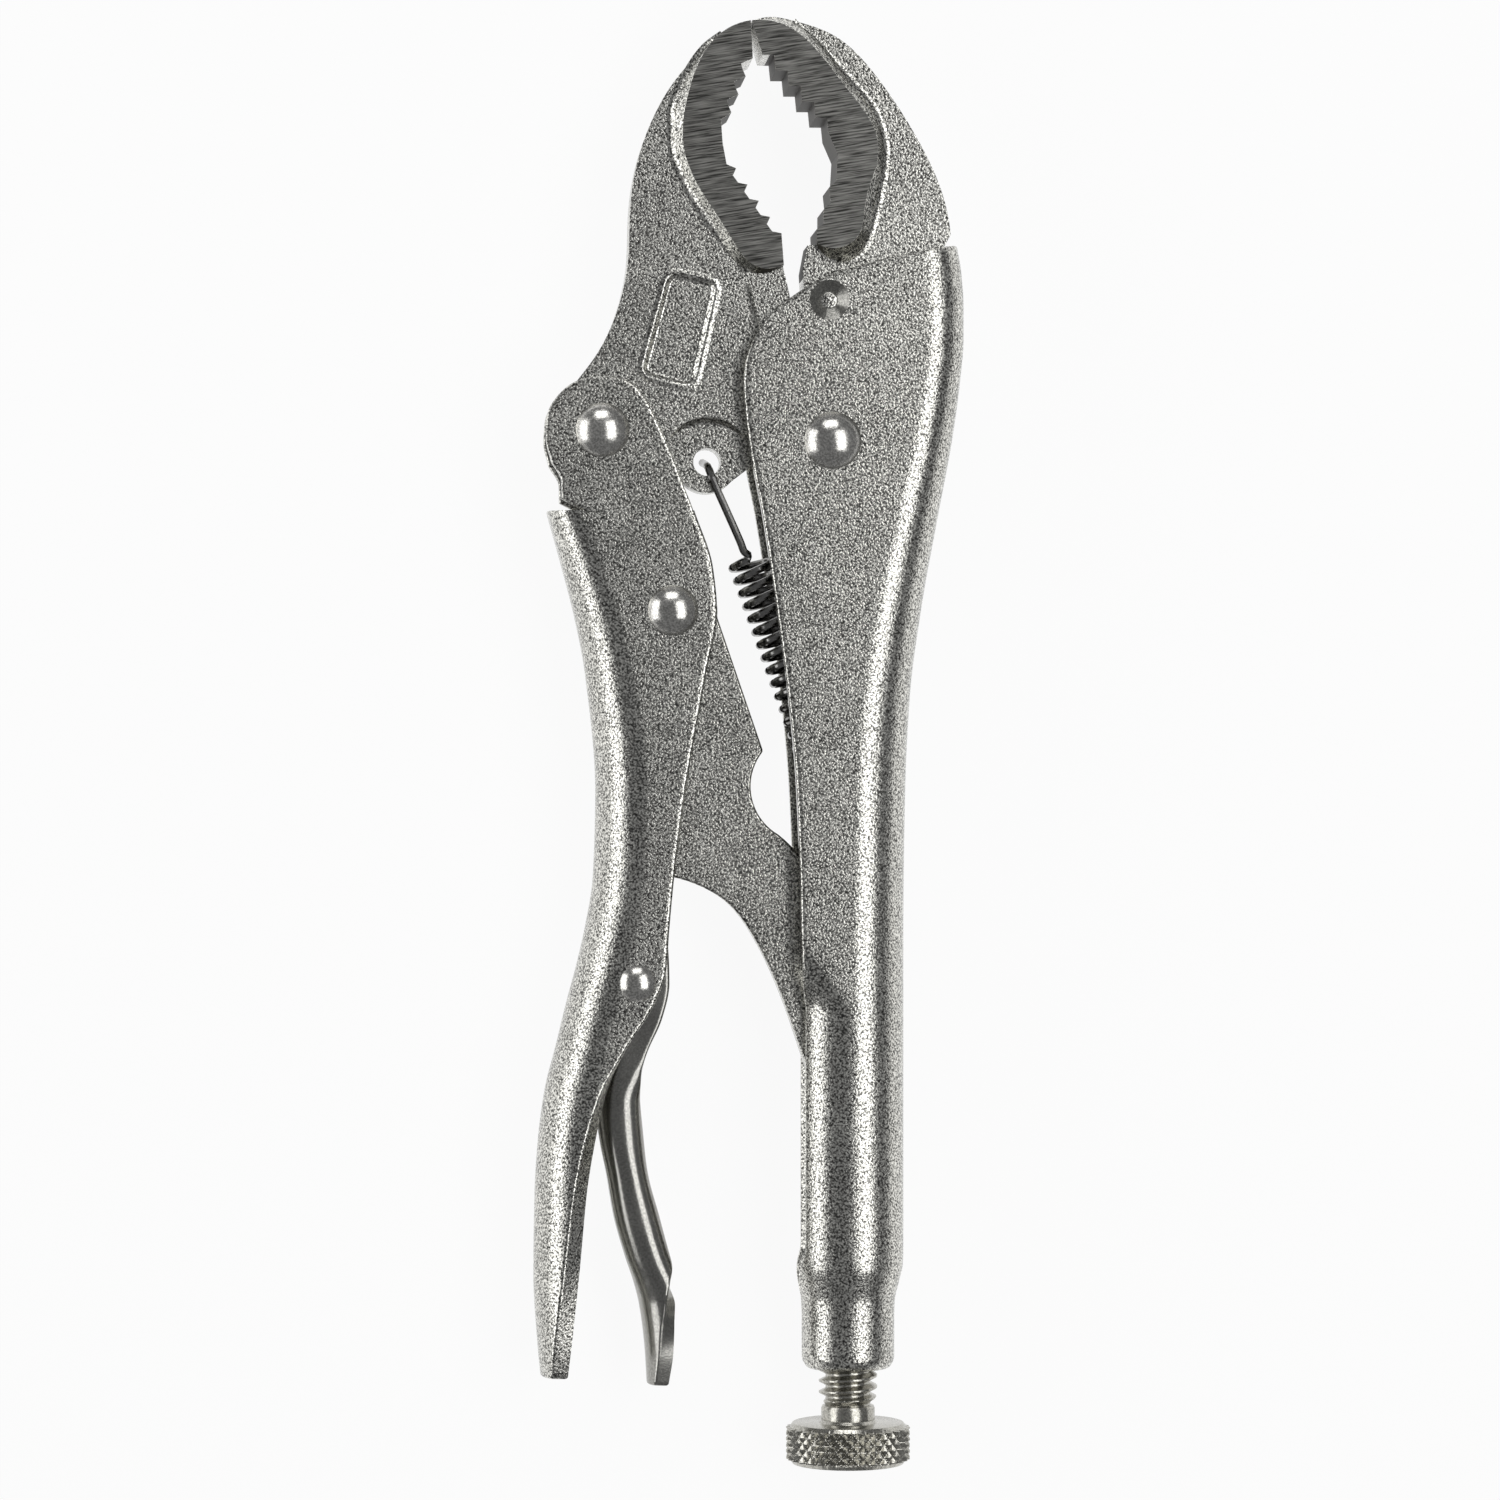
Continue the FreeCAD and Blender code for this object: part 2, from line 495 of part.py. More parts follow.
def opening_spring():
    height = SPRING_PITCH * SPRING_TURNS
    helix = Part.makeHelix(SPRING_PITCH, height, SPRING_COIL_RADIUS)
    start = Vector(SPRING_COIL_RADIUS, 0, 0)
    slope = Vector(0, 2 * math.pi * SPRING_COIL_RADIUS, SPRING_PITCH)
    ring = Part.Wire(Part.makeCircle(SPRING_WIRE / 2, start, slope))
    coil = Part.Wire(helix).makePipeShell([ring], True, True)

    # The helix is drawn along +Z and laid down onto the tilted axis of the coil.
    lay = FreeCAD.Placement(at(SPRING_TOP), FreeCAD.Rotation(Vector(0, 0, 1), SPRING_TILT)
                            .multiply(FreeCAD.Rotation(Vector(1, 0, 0), 90)))
    coil = coil.transformGeometry(lay.toMatrix())
    top = lay.multVec(start)
    bottom = lay.multVec(start.add(Vector(0, 0, height)))
    hole = SPRING_HOLE
    lift = SPRING_LOBE_HALF + SPRING_WIRE / 2 + 0.1
    hook = wire_run([top, at((SPRING_TOP[0] - 1.2, SPRING_TOP[1] + 1.6), lift), at(hole, lift),
                     at((hole[0] - 0.3, hole[1] + 0.3), -lift)])
    tab_y = spring_end()[1] - SPRING_WIRE / 2 - SPRING_TAB[2]
    low = wire_run([bottom, Vector(bottom.x - 1.6, bottom.y - 0.8, SPRING_TAB[1] / 2 + SPRING_WIRE),
                    Vector(bottom.x - 1.6, tab_y - SPRING_WIRE, SPRING_TAB[1] / 2 + SPRING_WIRE),
                    Vector(bottom.x - 1.6, tab_y - SPRING_WIRE, -SPRING_TAB[1] / 2 - SPRING_WIRE / 2)])
    return one_solid(coil, hook + low)


# Assembly ---------------------------------------------------------------------------------

pieces = {
    "fixed_handle": fixed_handle(),
    "fixed_jaw": fixed_jaw(),
    "fixed_jaw_pin": fixed_jaw_pin(),
    "main_pivot_rivet": rivet(MAIN_PIVOT, MAIN_RIVET, HANDLE_HALF_WIDTH),
    "moving_jaw": moving_jaw(),
    "lower_handle": lower_handle(),
    "jaw_handle_rivet": rivet(JAW_HANDLE_PIVOT, JAW_HANDLE_RIVET, GRIP_HALF_WIDTH),
    "link_rivet": rivet(LINK_PIVOT, LINK_RIVET, GRIP_HALF_WIDTH),
    "release_lever_rivet": rivet(LEVER_PIVOT, LEVER_RIVET, GRIP_HALF_WIDTH),
    "toggle_link": toggle_link(),
    "release_lever": release_lever(),
    "adjusting_screw": adjusting_screw(),
    "opening_spring": opening_spring(),
}

box = FreeCAD.BoundBox()
for shape in pieces.values():
    box.add(shape.optimalBoundingBox(False, False))
to_origin = Vector(-box.Center.x, -box.Center.y, -box.ZMin)

os.makedirs("parts", exist_ok=True)
for name, shape in pieces.items():
    shape.translate(to_origin)
    shape.exportStep("parts/" + name + ".step")
    print(name, "solids", len(shape.Solids), "valid", shape.isValid(), "volume", round(shape.Volume, 1))
print("main pivot at", [round(value, 4) for value in to_origin],
      "size", [round(value, 2) for value in (box.XLength, box.YLength, box.ZLength)])
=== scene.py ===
import json
import math

import bmesh
import bpy
import numpy as np
from mathutils import Matrix, Vector


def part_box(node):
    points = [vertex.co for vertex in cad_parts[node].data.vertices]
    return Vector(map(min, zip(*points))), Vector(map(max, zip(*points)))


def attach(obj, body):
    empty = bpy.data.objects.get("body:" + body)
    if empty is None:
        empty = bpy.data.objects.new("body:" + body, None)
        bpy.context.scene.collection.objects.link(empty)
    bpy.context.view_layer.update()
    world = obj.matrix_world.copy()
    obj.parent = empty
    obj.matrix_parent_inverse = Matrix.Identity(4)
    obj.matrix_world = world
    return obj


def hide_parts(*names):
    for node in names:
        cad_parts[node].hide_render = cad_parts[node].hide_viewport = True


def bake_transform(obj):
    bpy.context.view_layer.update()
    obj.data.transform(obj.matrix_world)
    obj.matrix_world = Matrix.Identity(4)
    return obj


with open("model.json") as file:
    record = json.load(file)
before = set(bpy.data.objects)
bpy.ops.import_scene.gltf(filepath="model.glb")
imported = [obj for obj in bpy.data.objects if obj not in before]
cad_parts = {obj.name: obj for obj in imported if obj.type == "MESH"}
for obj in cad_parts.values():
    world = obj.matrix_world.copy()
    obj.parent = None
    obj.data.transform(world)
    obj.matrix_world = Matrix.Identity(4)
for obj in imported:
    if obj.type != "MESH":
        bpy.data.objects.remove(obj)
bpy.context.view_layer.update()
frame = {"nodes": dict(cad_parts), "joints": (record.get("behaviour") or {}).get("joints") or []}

# ------------------------------------------------------------------------------------------
# Where the tool lies. The four pivots come from the frame's joints, and shapes are drawn in
# millimetres about the main pivot, as on a workshop drawing of the tool.
# ------------------------------------------------------------------------------------------
joints = {joint["name"]: joint for joint in frame["joints"]}
main_pivot = np.array(joints["jaw_pivot"]["pos_m"])


def placed(drawing):
    """Drawing millimetres about the main pivot, as metres in the frame: pivot + points / 1000."""
    return main_pivot + np.asarray(drawing, float) / 1000


def drawn(metres):
    """The opposite of placed: a frame position in drawing millimetres."""
    return (np.asarray(metres, float) - main_pivot) * 1000


jaw_handle_pivot = drawn(joints["handle_swing"]["pos_m"])
link_pivot = drawn(joints["link_pivot"]["pos_m"])
lever_pivot = drawn(joints["lever_pivot"]["pos_m"])

# ------------------------------------------------------------------------------------------
# Studio. A camera straight above the lying tool, a few degrees round to its open side, over
# a white table, with soft boxes left, right and behind the jaws.
# ------------------------------------------------------------------------------------------
view_centre = placed((-10.4, -38.75, 6.9))
view_distance = 0.608
view_turn = math.radians(3.9)
view_width = 0.1875

camera = bpy.data.cameras.new("camera")
camera.sensor_width = 36
camera.lens = 36 * view_distance / view_width
camera.clip_start = 0.01
camera_object = bpy.data.objects.new("camera", camera)
camera_object.location = view_centre + view_distance * np.array([-math.sin(view_turn), 0, math.cos(view_turn)])
camera_object.rotation_euler = (0, -view_turn, 0)
bpy.context.scene.collection.objects.link(camera_object)
bpy.context.scene.camera = camera_object
bpy.context.scene.view_settings.view_transform = "Standard"


def soft_box(name, offset, size, power):
    """A rectangular lamp at an offset from the tool, facing it. Its size in metres is (level, sloping)."""
    lamp = bpy.data.lights.new(name, "AREA")
    lamp.shape = "RECTANGLE"
    lamp.size, lamp.size_y = size
    lamp.energy = power
    holder = bpy.data.objects.new(name, lamp)
    middle = Vector(placed((-6, -38, 0)))
    holder.location = middle + Vector(offset)
    holder.rotation_euler = Vector(offset).to_track_quat("Z", "Y").to_euler()
    bpy.context.scene.collection.objects.link(holder)


soft_box("left_box", (-0.75, 0.05, 0.27), (0.9, 0.42), 2.4)
soft_box("right_box", (0.384, 0.05, 0.679), (0.9, 0.433), 2.8)
soft_box("head_box", (-0.05, 0.68, 0.42), (0.5, 0.34), 1.3)


def nodes_of(tree_owner):
    tree_owner.use_nodes = True
    tree = tree_owner.node_tree
    tree.nodes.clear()
    return tree


def add(tree, kind, inputs=(), **settings):
    """One shader node, its settings, and its inputs by name: a value, or another node's output."""
    node = tree.nodes.new(kind)
    for key, value in settings.items():
        setattr(node, key, value)
    for key, value in dict(inputs).items():
        if isinstance(value, bpy.types.NodeSocket):
            tree.links.new(value, node.inputs[key])
        else:
            node.inputs[key].default_value = value
    return node


world = bpy.data.worlds.new("studio")
bpy.context.scene.world = world
tree = nodes_of(world)
room = add(tree, "ShaderNodeBackground", {"Color": (0.97, 0.98, 1, 1), "Strength": 0.19})
add(tree, "ShaderNodeOutputWorld", {"Surface": room.outputs[0]})

table_material = bpy.data.materials.new("table")
tree = nodes_of(table_material)
glow = add(tree, "ShaderNodeEmission", {"Color": (1, 1, 1, 1), "Strength": 1.0})
paper = add(tree, "ShaderNodeBsdfDiffuse", {"Color": (0.86, 0.86, 0.86, 1)})
pale = add(tree, "ShaderNodeMixShader", {0: 0.93, 1: paper.outputs[0], 2: glow.outputs[0]})
path = add(tree, "ShaderNodeLightPath")
seen = add(tree, "ShaderNodeMath", {0: path.outputs["Is Camera Ray"], 1: path.outputs["Is Glossy Ray"]},
           operation="MAXIMUM")
seen = add(tree, "ShaderNodeMath", {0: seen.outputs[0], 1: path.outputs["Is Transmission Ray"]},
           operation="MAXIMUM")
mixed = add(tree, "ShaderNodeMixShader", {0: seen.outputs[0], 1: paper.outputs[0], 2: pale.outputs[0]})
add(tree, "ShaderNodeOutputMaterial", {"Surface": mixed.outputs[0]})

table_size = 6.0
table = bpy.data.meshes.new("table")
corner = table_size / 2
table.from_pydata([(-corner, -corner, 0), (corner, -corner, 0), (corner, corner, 0), (-corner, corner, 0)],
                  [], [(0, 1, 2, 3)])
table.materials.append(table_material)
table_object = bpy.data.objects.new("table", table)
bpy.context.scene.collection.objects.link(table_object)

# ------------------------------------------------------------------------------------------
# Fixed handle. One piece of steel sheet, folded to a channel that holds the fixed jaw, its
# flanges curled in to a slotted tube and drawn down to the nose; satin nickel plated.
# ------------------------------------------------------------------------------------------
sheet_wall = 1.85
tube_axis_x = 2.5
tube_radius = 7.0
nose_bore = 3.78


def smooth(keys, values, at):
    """A monotone cubic through (keys, values): each inner slope is the weighted harmonic mean
    of the two chords beside it, or 0 at a turning point, and spans are Hermite cubics."""
    keys = np.asarray(keys, float)
    values = np.asarray(values, float).reshape(len(keys), -1)
    step = np.diff(keys)[:, None]
    chord = np.diff(values, axis=0) / step
    before, after = chord[:-1], chord[1:]
    weigh_before = 2 * step[1:] + step[:-1]
    weigh_after = step[1:] + 2 * step[:-1]
    same_way = before * after > 1e-12
    safe_before = np.where(same_way, before, 1)
    safe_after = np.where(same_way, after, 1)
    mean = (weigh_before + weigh_after) / (weigh_before / safe_before + weigh_after / safe_after)
    slope = np.vstack([chord[:1], np.where(same_way, mean, 0), chord[-1:]])
    span = np.clip(np.searchsorted(keys, at, side="right") - 1, 0, len(keys) - 2)
    width = step[span]
    t = (np.asarray(at)[:, None] - keys[span][:, None]) / width
    return (values[span] * (2 * t ** 3 - 3 * t ** 2 + 1) + values[span + 1] * (3 * t ** 2 - 2 * t ** 3)
            + width * (slope[span] * (t ** 3 - 2 * t ** 2 + t) + slope[span + 1] * (t ** 3 - t ** 2)))


def folded_path(length, half, bend, reach, curl_radius):
    """A point and its outward normal at a length along half a fold, as (away, up) pairs.

    From the middle of the spine the path runs up the spine for half - bend, round a quarter
    circle of radius bend, along the flange to where it is reach away from the spine's face,
    and on round a circle of curl_radius. The heading is the sum of the two turns.
    """
    straight = half - bend
    turn = np.clip((length - straight) / bend, 0, math.pi / 2)
    along = length - straight - bend * math.pi / 2
    flat = np.clip(along, 0, np.maximum(reach - bend, 0))
    curl = np.clip(along - np.maximum(reach - bend, 0), 0, None) / curl_radius
    away = bend * (1 - np.cos(turn)) + flat + curl_radius * np.sin(curl)
    up = np.minimum(length, straight) + bend * np.sin(turn) - curl_radius * (1 - np.cos(curl))
    heading = turn + curl
    return away, up, -np.cos(heading), np.sin(heading)


def closed_grid(name, grid, edge_places):
    """A mesh of a closed band of quads, grid[row, place], whose two ends are closed by quads
    that join the first half of the ring to the second half, folded back on it at the middle
    of the edge_places * 2 places of each free edge."""
    rows, places = grid.shape[:2]
    number = np.arange(rows * places).reshape(rows, places)
    right = np.roll(number, -1, axis=1)
    sides = np.stack([number[:-1], right[:-1], right[1:], number[1:]], -1).reshape(-1, 4)
    half = places // 2
    out = np.arange(half - 1)
    back = places - 1 - out
    ring = np.roll(number, edge_places, axis=1)
    first = np.stack([ring[0, out], ring[0, back], ring[0, back - 1], ring[0, out + 1]], -1)
    last = np.stack([ring[-1, out], ring[-1, out + 1], ring[-1, back - 1], ring[-1, back]], -1)
    return new_mesh(name, grid.reshape(-1, 3), np.vstack([sides, first, last]).tolist())


def new_mesh(name, drawing, faces):
    """A mesh from drawing millimetres and faces, turned right side out if its volume is negative."""
    mesh = bpy.data.meshes.new(name)
    mesh.from_pydata(placed(drawing).tolist(), [], faces)
    mesh.update()
    mesh.calc_loop_triangles()
    corners = np.empty(len(mesh.loop_triangles) * 3, np.int32)
    mesh.loop_triangles.foreach_get("vertices", corners)
    places = np.asarray(drawing, float)[corners].reshape(-1, 3, 3)
    if np.einsum("ij,ij->i", places[:, 0], np.cross(places[:, 1], places[:, 2])).sum() < 0:
        mesh.flip_normals()
    return mesh


def folded_sheet(name, table, rows, columns, corner_outer=0.45, corner_inner=0.25,
                 end_rounds=(0.3, 0.3)):
    """A folded sheet part, from a table of ribs along its length.

    Each rib gives its spine (x, y), where its flanges end or start to curl (x, y), the share
    of the half width that the bend takes, the half width, the wall, the curl in degrees, the
    curl's radius as a share of the half width, how far the rib bows to the left of its way
    from the spine, and how much shorter the outer face is than the inner at the sheared edge.
    Points are spine + away * rib direction + bow, and up is Z; the inner face is the outer
    one less wall * normal, with the free edges and both ends rounded.
    """
    table = np.array(table, float)
    middle = (table[:, 0:2] + table[:, 2:4]) / 2
    keys = np.concatenate([[0], np.cumsum(np.hypot(*np.diff(middle, axis=0).T))])
    turn = np.linspace(0, math.pi / 2, 4)
    rounding = 1 - np.cos(turn[:-1])
    start, end = end_rounds
    first = max(start, 0.03)
    between = np.linspace(first, keys[-1] - end, rows)
    along = np.concatenate([first * rounding, between, keys[-1] - end * rounding[::-1]])
    edge_inset = 1 - np.sin(turn[:-1])
    inset = np.concatenate([start * edge_inset, np.zeros(rows), end * edge_inset[::-1]])[:, None]
    rib = smooth(keys, table, along)
    spine, tip = rib[:, 0:2], rib[:, 2:4]
    share, half, wall, curl, curl_share, bow, shear = rib[:, 4:11].T[:, :, None]
    reach = np.hypot(*(tip - spine).T)[:, None]
    heading = (tip - spine) / reach
    bend = share * half
    curl_radius = curl_share * half
    shallow = half - bend + bend * np.arccos(np.clip(1 - reach / bend, -1, 1))
    full = half - bend + bend * math.pi / 2 + reach - bend + curl_radius * np.radians(curl)
    length = np.where((reach < bend) & (curl < 1), shallow, full) - inset

    # One ring: the outer face, the rounded free edge, the inner face and the other free edge
    quarter = np.linspace(0, math.pi / 2, 5)[1:-1]
    share_along = np.linspace(-1, 1, columns)
    cut = np.concatenate([corner_outer * (1 - np.sin(quarter)), corner_inner * (1 - np.cos(quarter))])
    depth = np.concatenate([corner_outer * (1 - np.cos(quarter)), -corner_inner * (1 - np.sin(quarter))])
    outer = share_along * (length - shear - corner_outer)
    inner = share_along[::-1] * (length - corner_inner)
    edge = length - cut - shear * np.repeat([1, 0], len(quarter))
    signed = np.concatenate([outer, edge, inner, -edge[:, ::-1]], 1)
    deep_outer = np.zeros((1, columns))
    deep = np.concatenate([deep_outer + inset * 0, depth + (depth < 0) * wall, deep_outer + wall,
                           (depth + (depth < 0) * wall)[:, ::-1]], 1)
    deep = inset + deep * (wall - 2 * inset) / wall
    away, up, normal_away, normal_up = folded_path(np.abs(signed), half, bend, reach, curl_radius)
    away = away - deep * normal_away
    up = (up - deep * normal_up) * np.where(signed < 0, -1, 1)
    part = np.clip(away / reach, 0, 1)
    raised = bow * 4 * part * (1 - part) * (0.4 + 1.1 * part)
    across = np.stack([-heading[:, 1], heading[:, 0]], 1)
    flat = spine[:, None] + away[..., None] * heading[:, None] + raised[..., None] * across[:, None]
    return closed_grid(name, np.concatenate([flat, up[..., None]], -1), len(quarter))


tube_curl = 57.0
handle_ribs = [
    # spine x, y       flange end x, y  bend  half wide    wall    curl  radius bow shear
    (16.05, 24.9, -8.4, 15.0, 0.66, tube_radius, sheet_wall, 0, 1, -2.2, 0),
    (16.65, 21.4, -10.1, 12.4, 0.67, tube_radius, sheet_wall, 0, 1, -1.4, 0),
    (16.95, 17.0, -11.05, 9.4, 0.69, tube_radius, sheet_wall, 0, 1, -0.5, 0),
    (16.95, 13.0, -11.2, 6.8, 0.70, tube_radius, sheet_wall, 0, 1, 0, 0),
    (16.5, 7.6, -11.0, 4.0, 0.72, tube_radius, sheet_wall, 0, 1, 0, 0),
    (15.5, 0.2, -10.3, -1.6, 0.76, tube_radius, sheet_wall, 0, 1, 0, 0),
    (13.85, -8.8, -8.8, -9.4, 0.81, tube_radius, sheet_wall, 0, 1, 0, 0),
    (11.75, -20.6, -7.1, -20.6, 0.87, tube_radius, sheet_wall, 0, 1, 0, 0),
    (10.3, -31.8, -5.6, -31.8, 0.92, tube_radius, sheet_wall, 0, 1, 0, 0),
    (9.75, -42.6, -4.6, -42.6, 0.95, tube_radius, sheet_wall, 0, 1, 0, 0),
    (9.55, -54.0, -4.1, -54.0, 0.97, tube_radius, sheet_wall, 0, 1, 0, 0),
    (9.5, -61.5, -3.85, -61.5, 0.985, tube_radius, sheet_wall, 1, 1, 0, 0),
    (9.5, -66.8, -0.6, -66.8, 0.985, tube_radius, sheet_wall, 28, 1, 0, 0),
    (9.5, -72.0, 2.5, -72.0, 0.985, tube_radius, sheet_wall, tube_curl, 1, 0, 0),
    (9.5, -80.0, 2.5, -80.0, 0.985, tube_radius, sheet_wall, tube_curl, 1, 0, 0),
    (9.5, -101.6, 2.5, -101.6, 0.985, tube_radius, sheet_wall, tube_curl, 1, 0, 0),
    (9.45, -103.6, 2.5, -103.6, 0.985, 6.95, sheet_wall, 66, 1, 0, 0),
    (8.95, -106.0, 2.5, -106.0, 0.985, 6.45, 1.9, 80, 1, 0, 0),
    (8.42, -108.4, 2.5, -108.4, 0.985, 5.92, 2.05, 88.5, 1, 0, 0),
    (8.35, -110.5, 2.5, -110.5, 0.985, 5.85, 2.07, 89.3, 1, 0, 0),
    (8.35, -115.4, 2.5, -115.4, 0.985, 5.85, 2.07, 89.3, 1, 0, 0),
    (8.1, -116.35, 2.5, -116.35, 0.985, 5.6, 1.82, 89.3, 1, 0, 0),
    (7.6, -116.9, 2.5, -116.9, 0.985, 5.1, 1.32, 89.3, 1, 0, 0),
]


def piece(name, mesh, material, body, *replaced):
    """A finished piece: its object at the origin, smooth shaded up to 25 degrees, riding on its
    body, in the slot of its material's name, and standing for the nodes it replaces."""
    obj = bpy.data.objects.new(name, mesh)
    bpy.context.scene.collection.objects.link(obj)
    mesh.materials.clear()
    mesh.materials.append(material)
    mesh.shade_smooth()
    mesh.set_sharp_from_angle(angle=math.radians(25))
    if body:
        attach(obj, body)
    if replaced:
        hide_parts(*replaced)
    return obj


def plated_steel(name, colour, roughness, grain=1.0):
    """Nickel on steel: a mirror metal dulled by a fine grain.

    Two noises on turned Object coordinates, about 0.4 mm and 5 mm across, vary colour and roughness
    a little. The fine one also lifts the surface by 0.045 mm times grain, so that its slopes
    of about ten degrees glint.
    """
    material = bpy.data.materials.new(name)
    tree = nodes_of(material)
    coordinates = add(tree, "ShaderNodeMapping", {"Vector": add(tree, "ShaderNodeTexCoord").outputs["Object"],
                                                  "Rotation": (0.7, 0.5, 0.3)}).outputs[0]
    fine = add(tree, "ShaderNodeTexNoise", {"Vector": coordinates, "Scale": 4000.0, "Detail": 2.0,
                                            "Roughness": 0.55}).outputs["Fac"]
    broad = add(tree, "ShaderNodeTexNoise", {"Vector": coordinates, "Scale": 190.0,
                                             "Detail": 3.0}).outputs["Fac"]
    speck = add(tree, "ShaderNodeMapRange", {"Value": fine, "From Min": 0.38, "From Max": 0.62,
                                             "To Min": 1 - 0.88 * grain, "To Max": 1 + 0.95 * grain})
    cloud = add(tree, "ShaderNodeMapRange", {"Value": broad, "From Min": 0.3, "From Max": 0.7,
                                             "To Min": 0.95, "To Max": 1.05})
    shade = add(tree, "ShaderNodeMath", {0: speck.outputs[0], 1: cloud.outputs[0]}, operation="MULTIPLY")
    tint = add(tree, "ShaderNodeVectorMath", {0: colour, "Scale": shade.outputs[0]}, operation="SCALE")
    rough = add(tree, "ShaderNodeMapRange", {"Value": broad, "From Min": 0.3, "From Max": 0.7,
                                             "To Min": roughness - 0.02, "To Max": roughness + 0.04})
    bump = add(tree, "ShaderNodeBump", {"Height": fine, "Strength": 1.0, "Distance": 0.000045 * grain})
    shader = add(tree, "ShaderNodeBsdfPrincipled", {"Base Color": tint.outputs[0], "Metallic": 1.0,
                                                    "Roughness": rough.outputs[0],
                                                    "Normal": bump.outputs[0]})
    add(tree, "ShaderNodeOutputMaterial", {"Surface": shader.outputs[0]})
    return material


plated_sheet = plated_steel("plated_sheet", (0.47, 0.465, 0.435), 0.21)

handle_mesh = folded_sheet("fixed_handle", handle_ribs, rows=250, columns=150)


def turned(name, profile, centre, around=64, axis="z"):
    """A profile of (radius, height) points turned about an axis: x = r cos, y = r sin, z = h.
    The profile starts and ends on the axis, and its two end points close the shape."""
    profile = np.asarray(profile, float)
    angle = np.linspace(0, 2 * math.pi, around, endpoint=False)
    ring = profile[1:-1]
    across = ring[:, :1] * np.cos(angle)
    level = ring[:, :1] * np.sin(angle)
    height = ring[:, 1:2] + 0 * angle
    order = (across, level, height) if axis == "z" else (across, height, -level)
    points = np.stack(order, -1).reshape(-1, 3)
    ends = np.array([[0, 0, profile[0, 1]], [0, 0, profile[-1, 1]]])
    if axis == "y":
        ends = ends[:, [0, 2, 1]]
    points = np.vstack([points, ends]) + np.asarray(centre, float)
    number = np.arange(len(ring) * around).reshape(len(ring), around)
    right = np.roll(number, -1, axis=1)
    sides = np.stack([number[:-1], number[1:], right[1:], right[:-1]], -1).reshape(-1, 4)
    first = np.stack([np.full(around, len(points) - 2), number[0], right[0]], -1)
    last = np.stack([np.full(around, len(points) - 1), right[-1], number[-1]], -1)
    return new_mesh(name, points, sides.tolist() + first.tolist() + last.tolist())


def carved(mesh, tool):
    """A mesh less another one, through a Boolean on a helper object that is then removed."""
    whole, cutter = (bpy.data.objects.new("helper", shape) for shape in (mesh, tool))
    for helper in (whole, cutter):
        bpy.context.scene.collection.objects.link(helper)
    modifier = whole.modifiers.new("carve", "BOOLEAN")
    modifier.operation = "DIFFERENCE"
    modifier.solver = "EXACT"
    modifier.object = cutter
    graph = bpy.context.evaluated_depsgraph_get()
    result = bpy.data.meshes.new_from_object(whole.evaluated_get(graph))
    for helper in (whole, cutter):
        bpy.data.objects.remove(helper)
    return result


pin_low, pin_high = (drawn(corner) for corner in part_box("fixed_jaw_pin"))
pin_centre = (pin_low + pin_high) / 2
pin_top = pin_high[2] - pin_centre[2]
cone_slope = (2.5 - 1.1) / (tube_radius - pin_top)
above = tube_radius + 0.2
cone = [(0, above), (1.1 + cone_slope * (above - pin_top), above), (1.1, pin_top), (0, pin_top)]
for face in (1, -1):
    dimple = turned("dimple", np.array(cone) * (1, face), (pin_centre[0], pin_centre[1], 0), around=48)
    handle_mesh = carved(handle_mesh, dimple)
fixed_handle = piece("fixed_handle_sheet", handle_mesh, plated_sheet, "fixed_handle", "fixed_handle")

# The two cones take a copy of the plating with less grain and a darker colour: painted shade in the dimple's
# hollow
centres = np.empty(len(handle_mesh.polygons) * 3)
handle_mesh.polygons.foreach_get("center", centres)
centres = drawn(centres.reshape(-1, 3))
painted_shade_cones = ((np.hypot(*(centres - pin_centre)[:, :2].T) < 2.45) & (np.abs(centres[:, 2]) < tube_radius - 0.03)
           & (np.abs(centres[:, 2]) > pin_top - 0.03))
# Painted shade: a darker copy of the plating for the cones
handle_mesh.materials.append(plated_steel("plated_sheet", (0.3, 0.296, 0.275), 0.24, grain=0.3))
handle_mesh.polygons.foreach_set("material_index", painted_shade_cones.astype(np.int32))

# ------------------------------------------------------------------------------------------
# Jaws. Two forgings, satin plated, with ground gripping pads that stand proud of the body on
# a sloping shoulder; the teeth are broached across the whole width.
# ------------------------------------------------------------------------------------------


def softened(name, node, width, material, body):
    """A copy of a forged or stamped node with its edges rounded, as plating leaves them."""
    mesh = bpy.data.meshes.new(name)
    work = bmesh.new()
    work.from_mesh(frame["nodes"][node].data)
    bmesh.ops.remove_doubles(work, verts=work.verts, dist=1e-6)
    bmesh.ops.dissolve_limit(work, angle_limit=math.radians(0.6), verts=work.verts, edges=work.edges)
    work.to_mesh(mesh)
    work.free()
    obj = piece(name, mesh, material, body, node)
    rounding = obj.modifiers.new("rounded", "BEVEL")
    rounding.width = width
    rounding.segments = 3
    rounding.limit_method = "ANGLE"
    rounding.angle_limit = math.radians(18)
    obj.modifiers.new("flat_faces", "WEIGHTED_NORMAL").keep_sharp = True
    return obj


mouth_middle = tuple(placed((-7.0, 34.0, 0)))


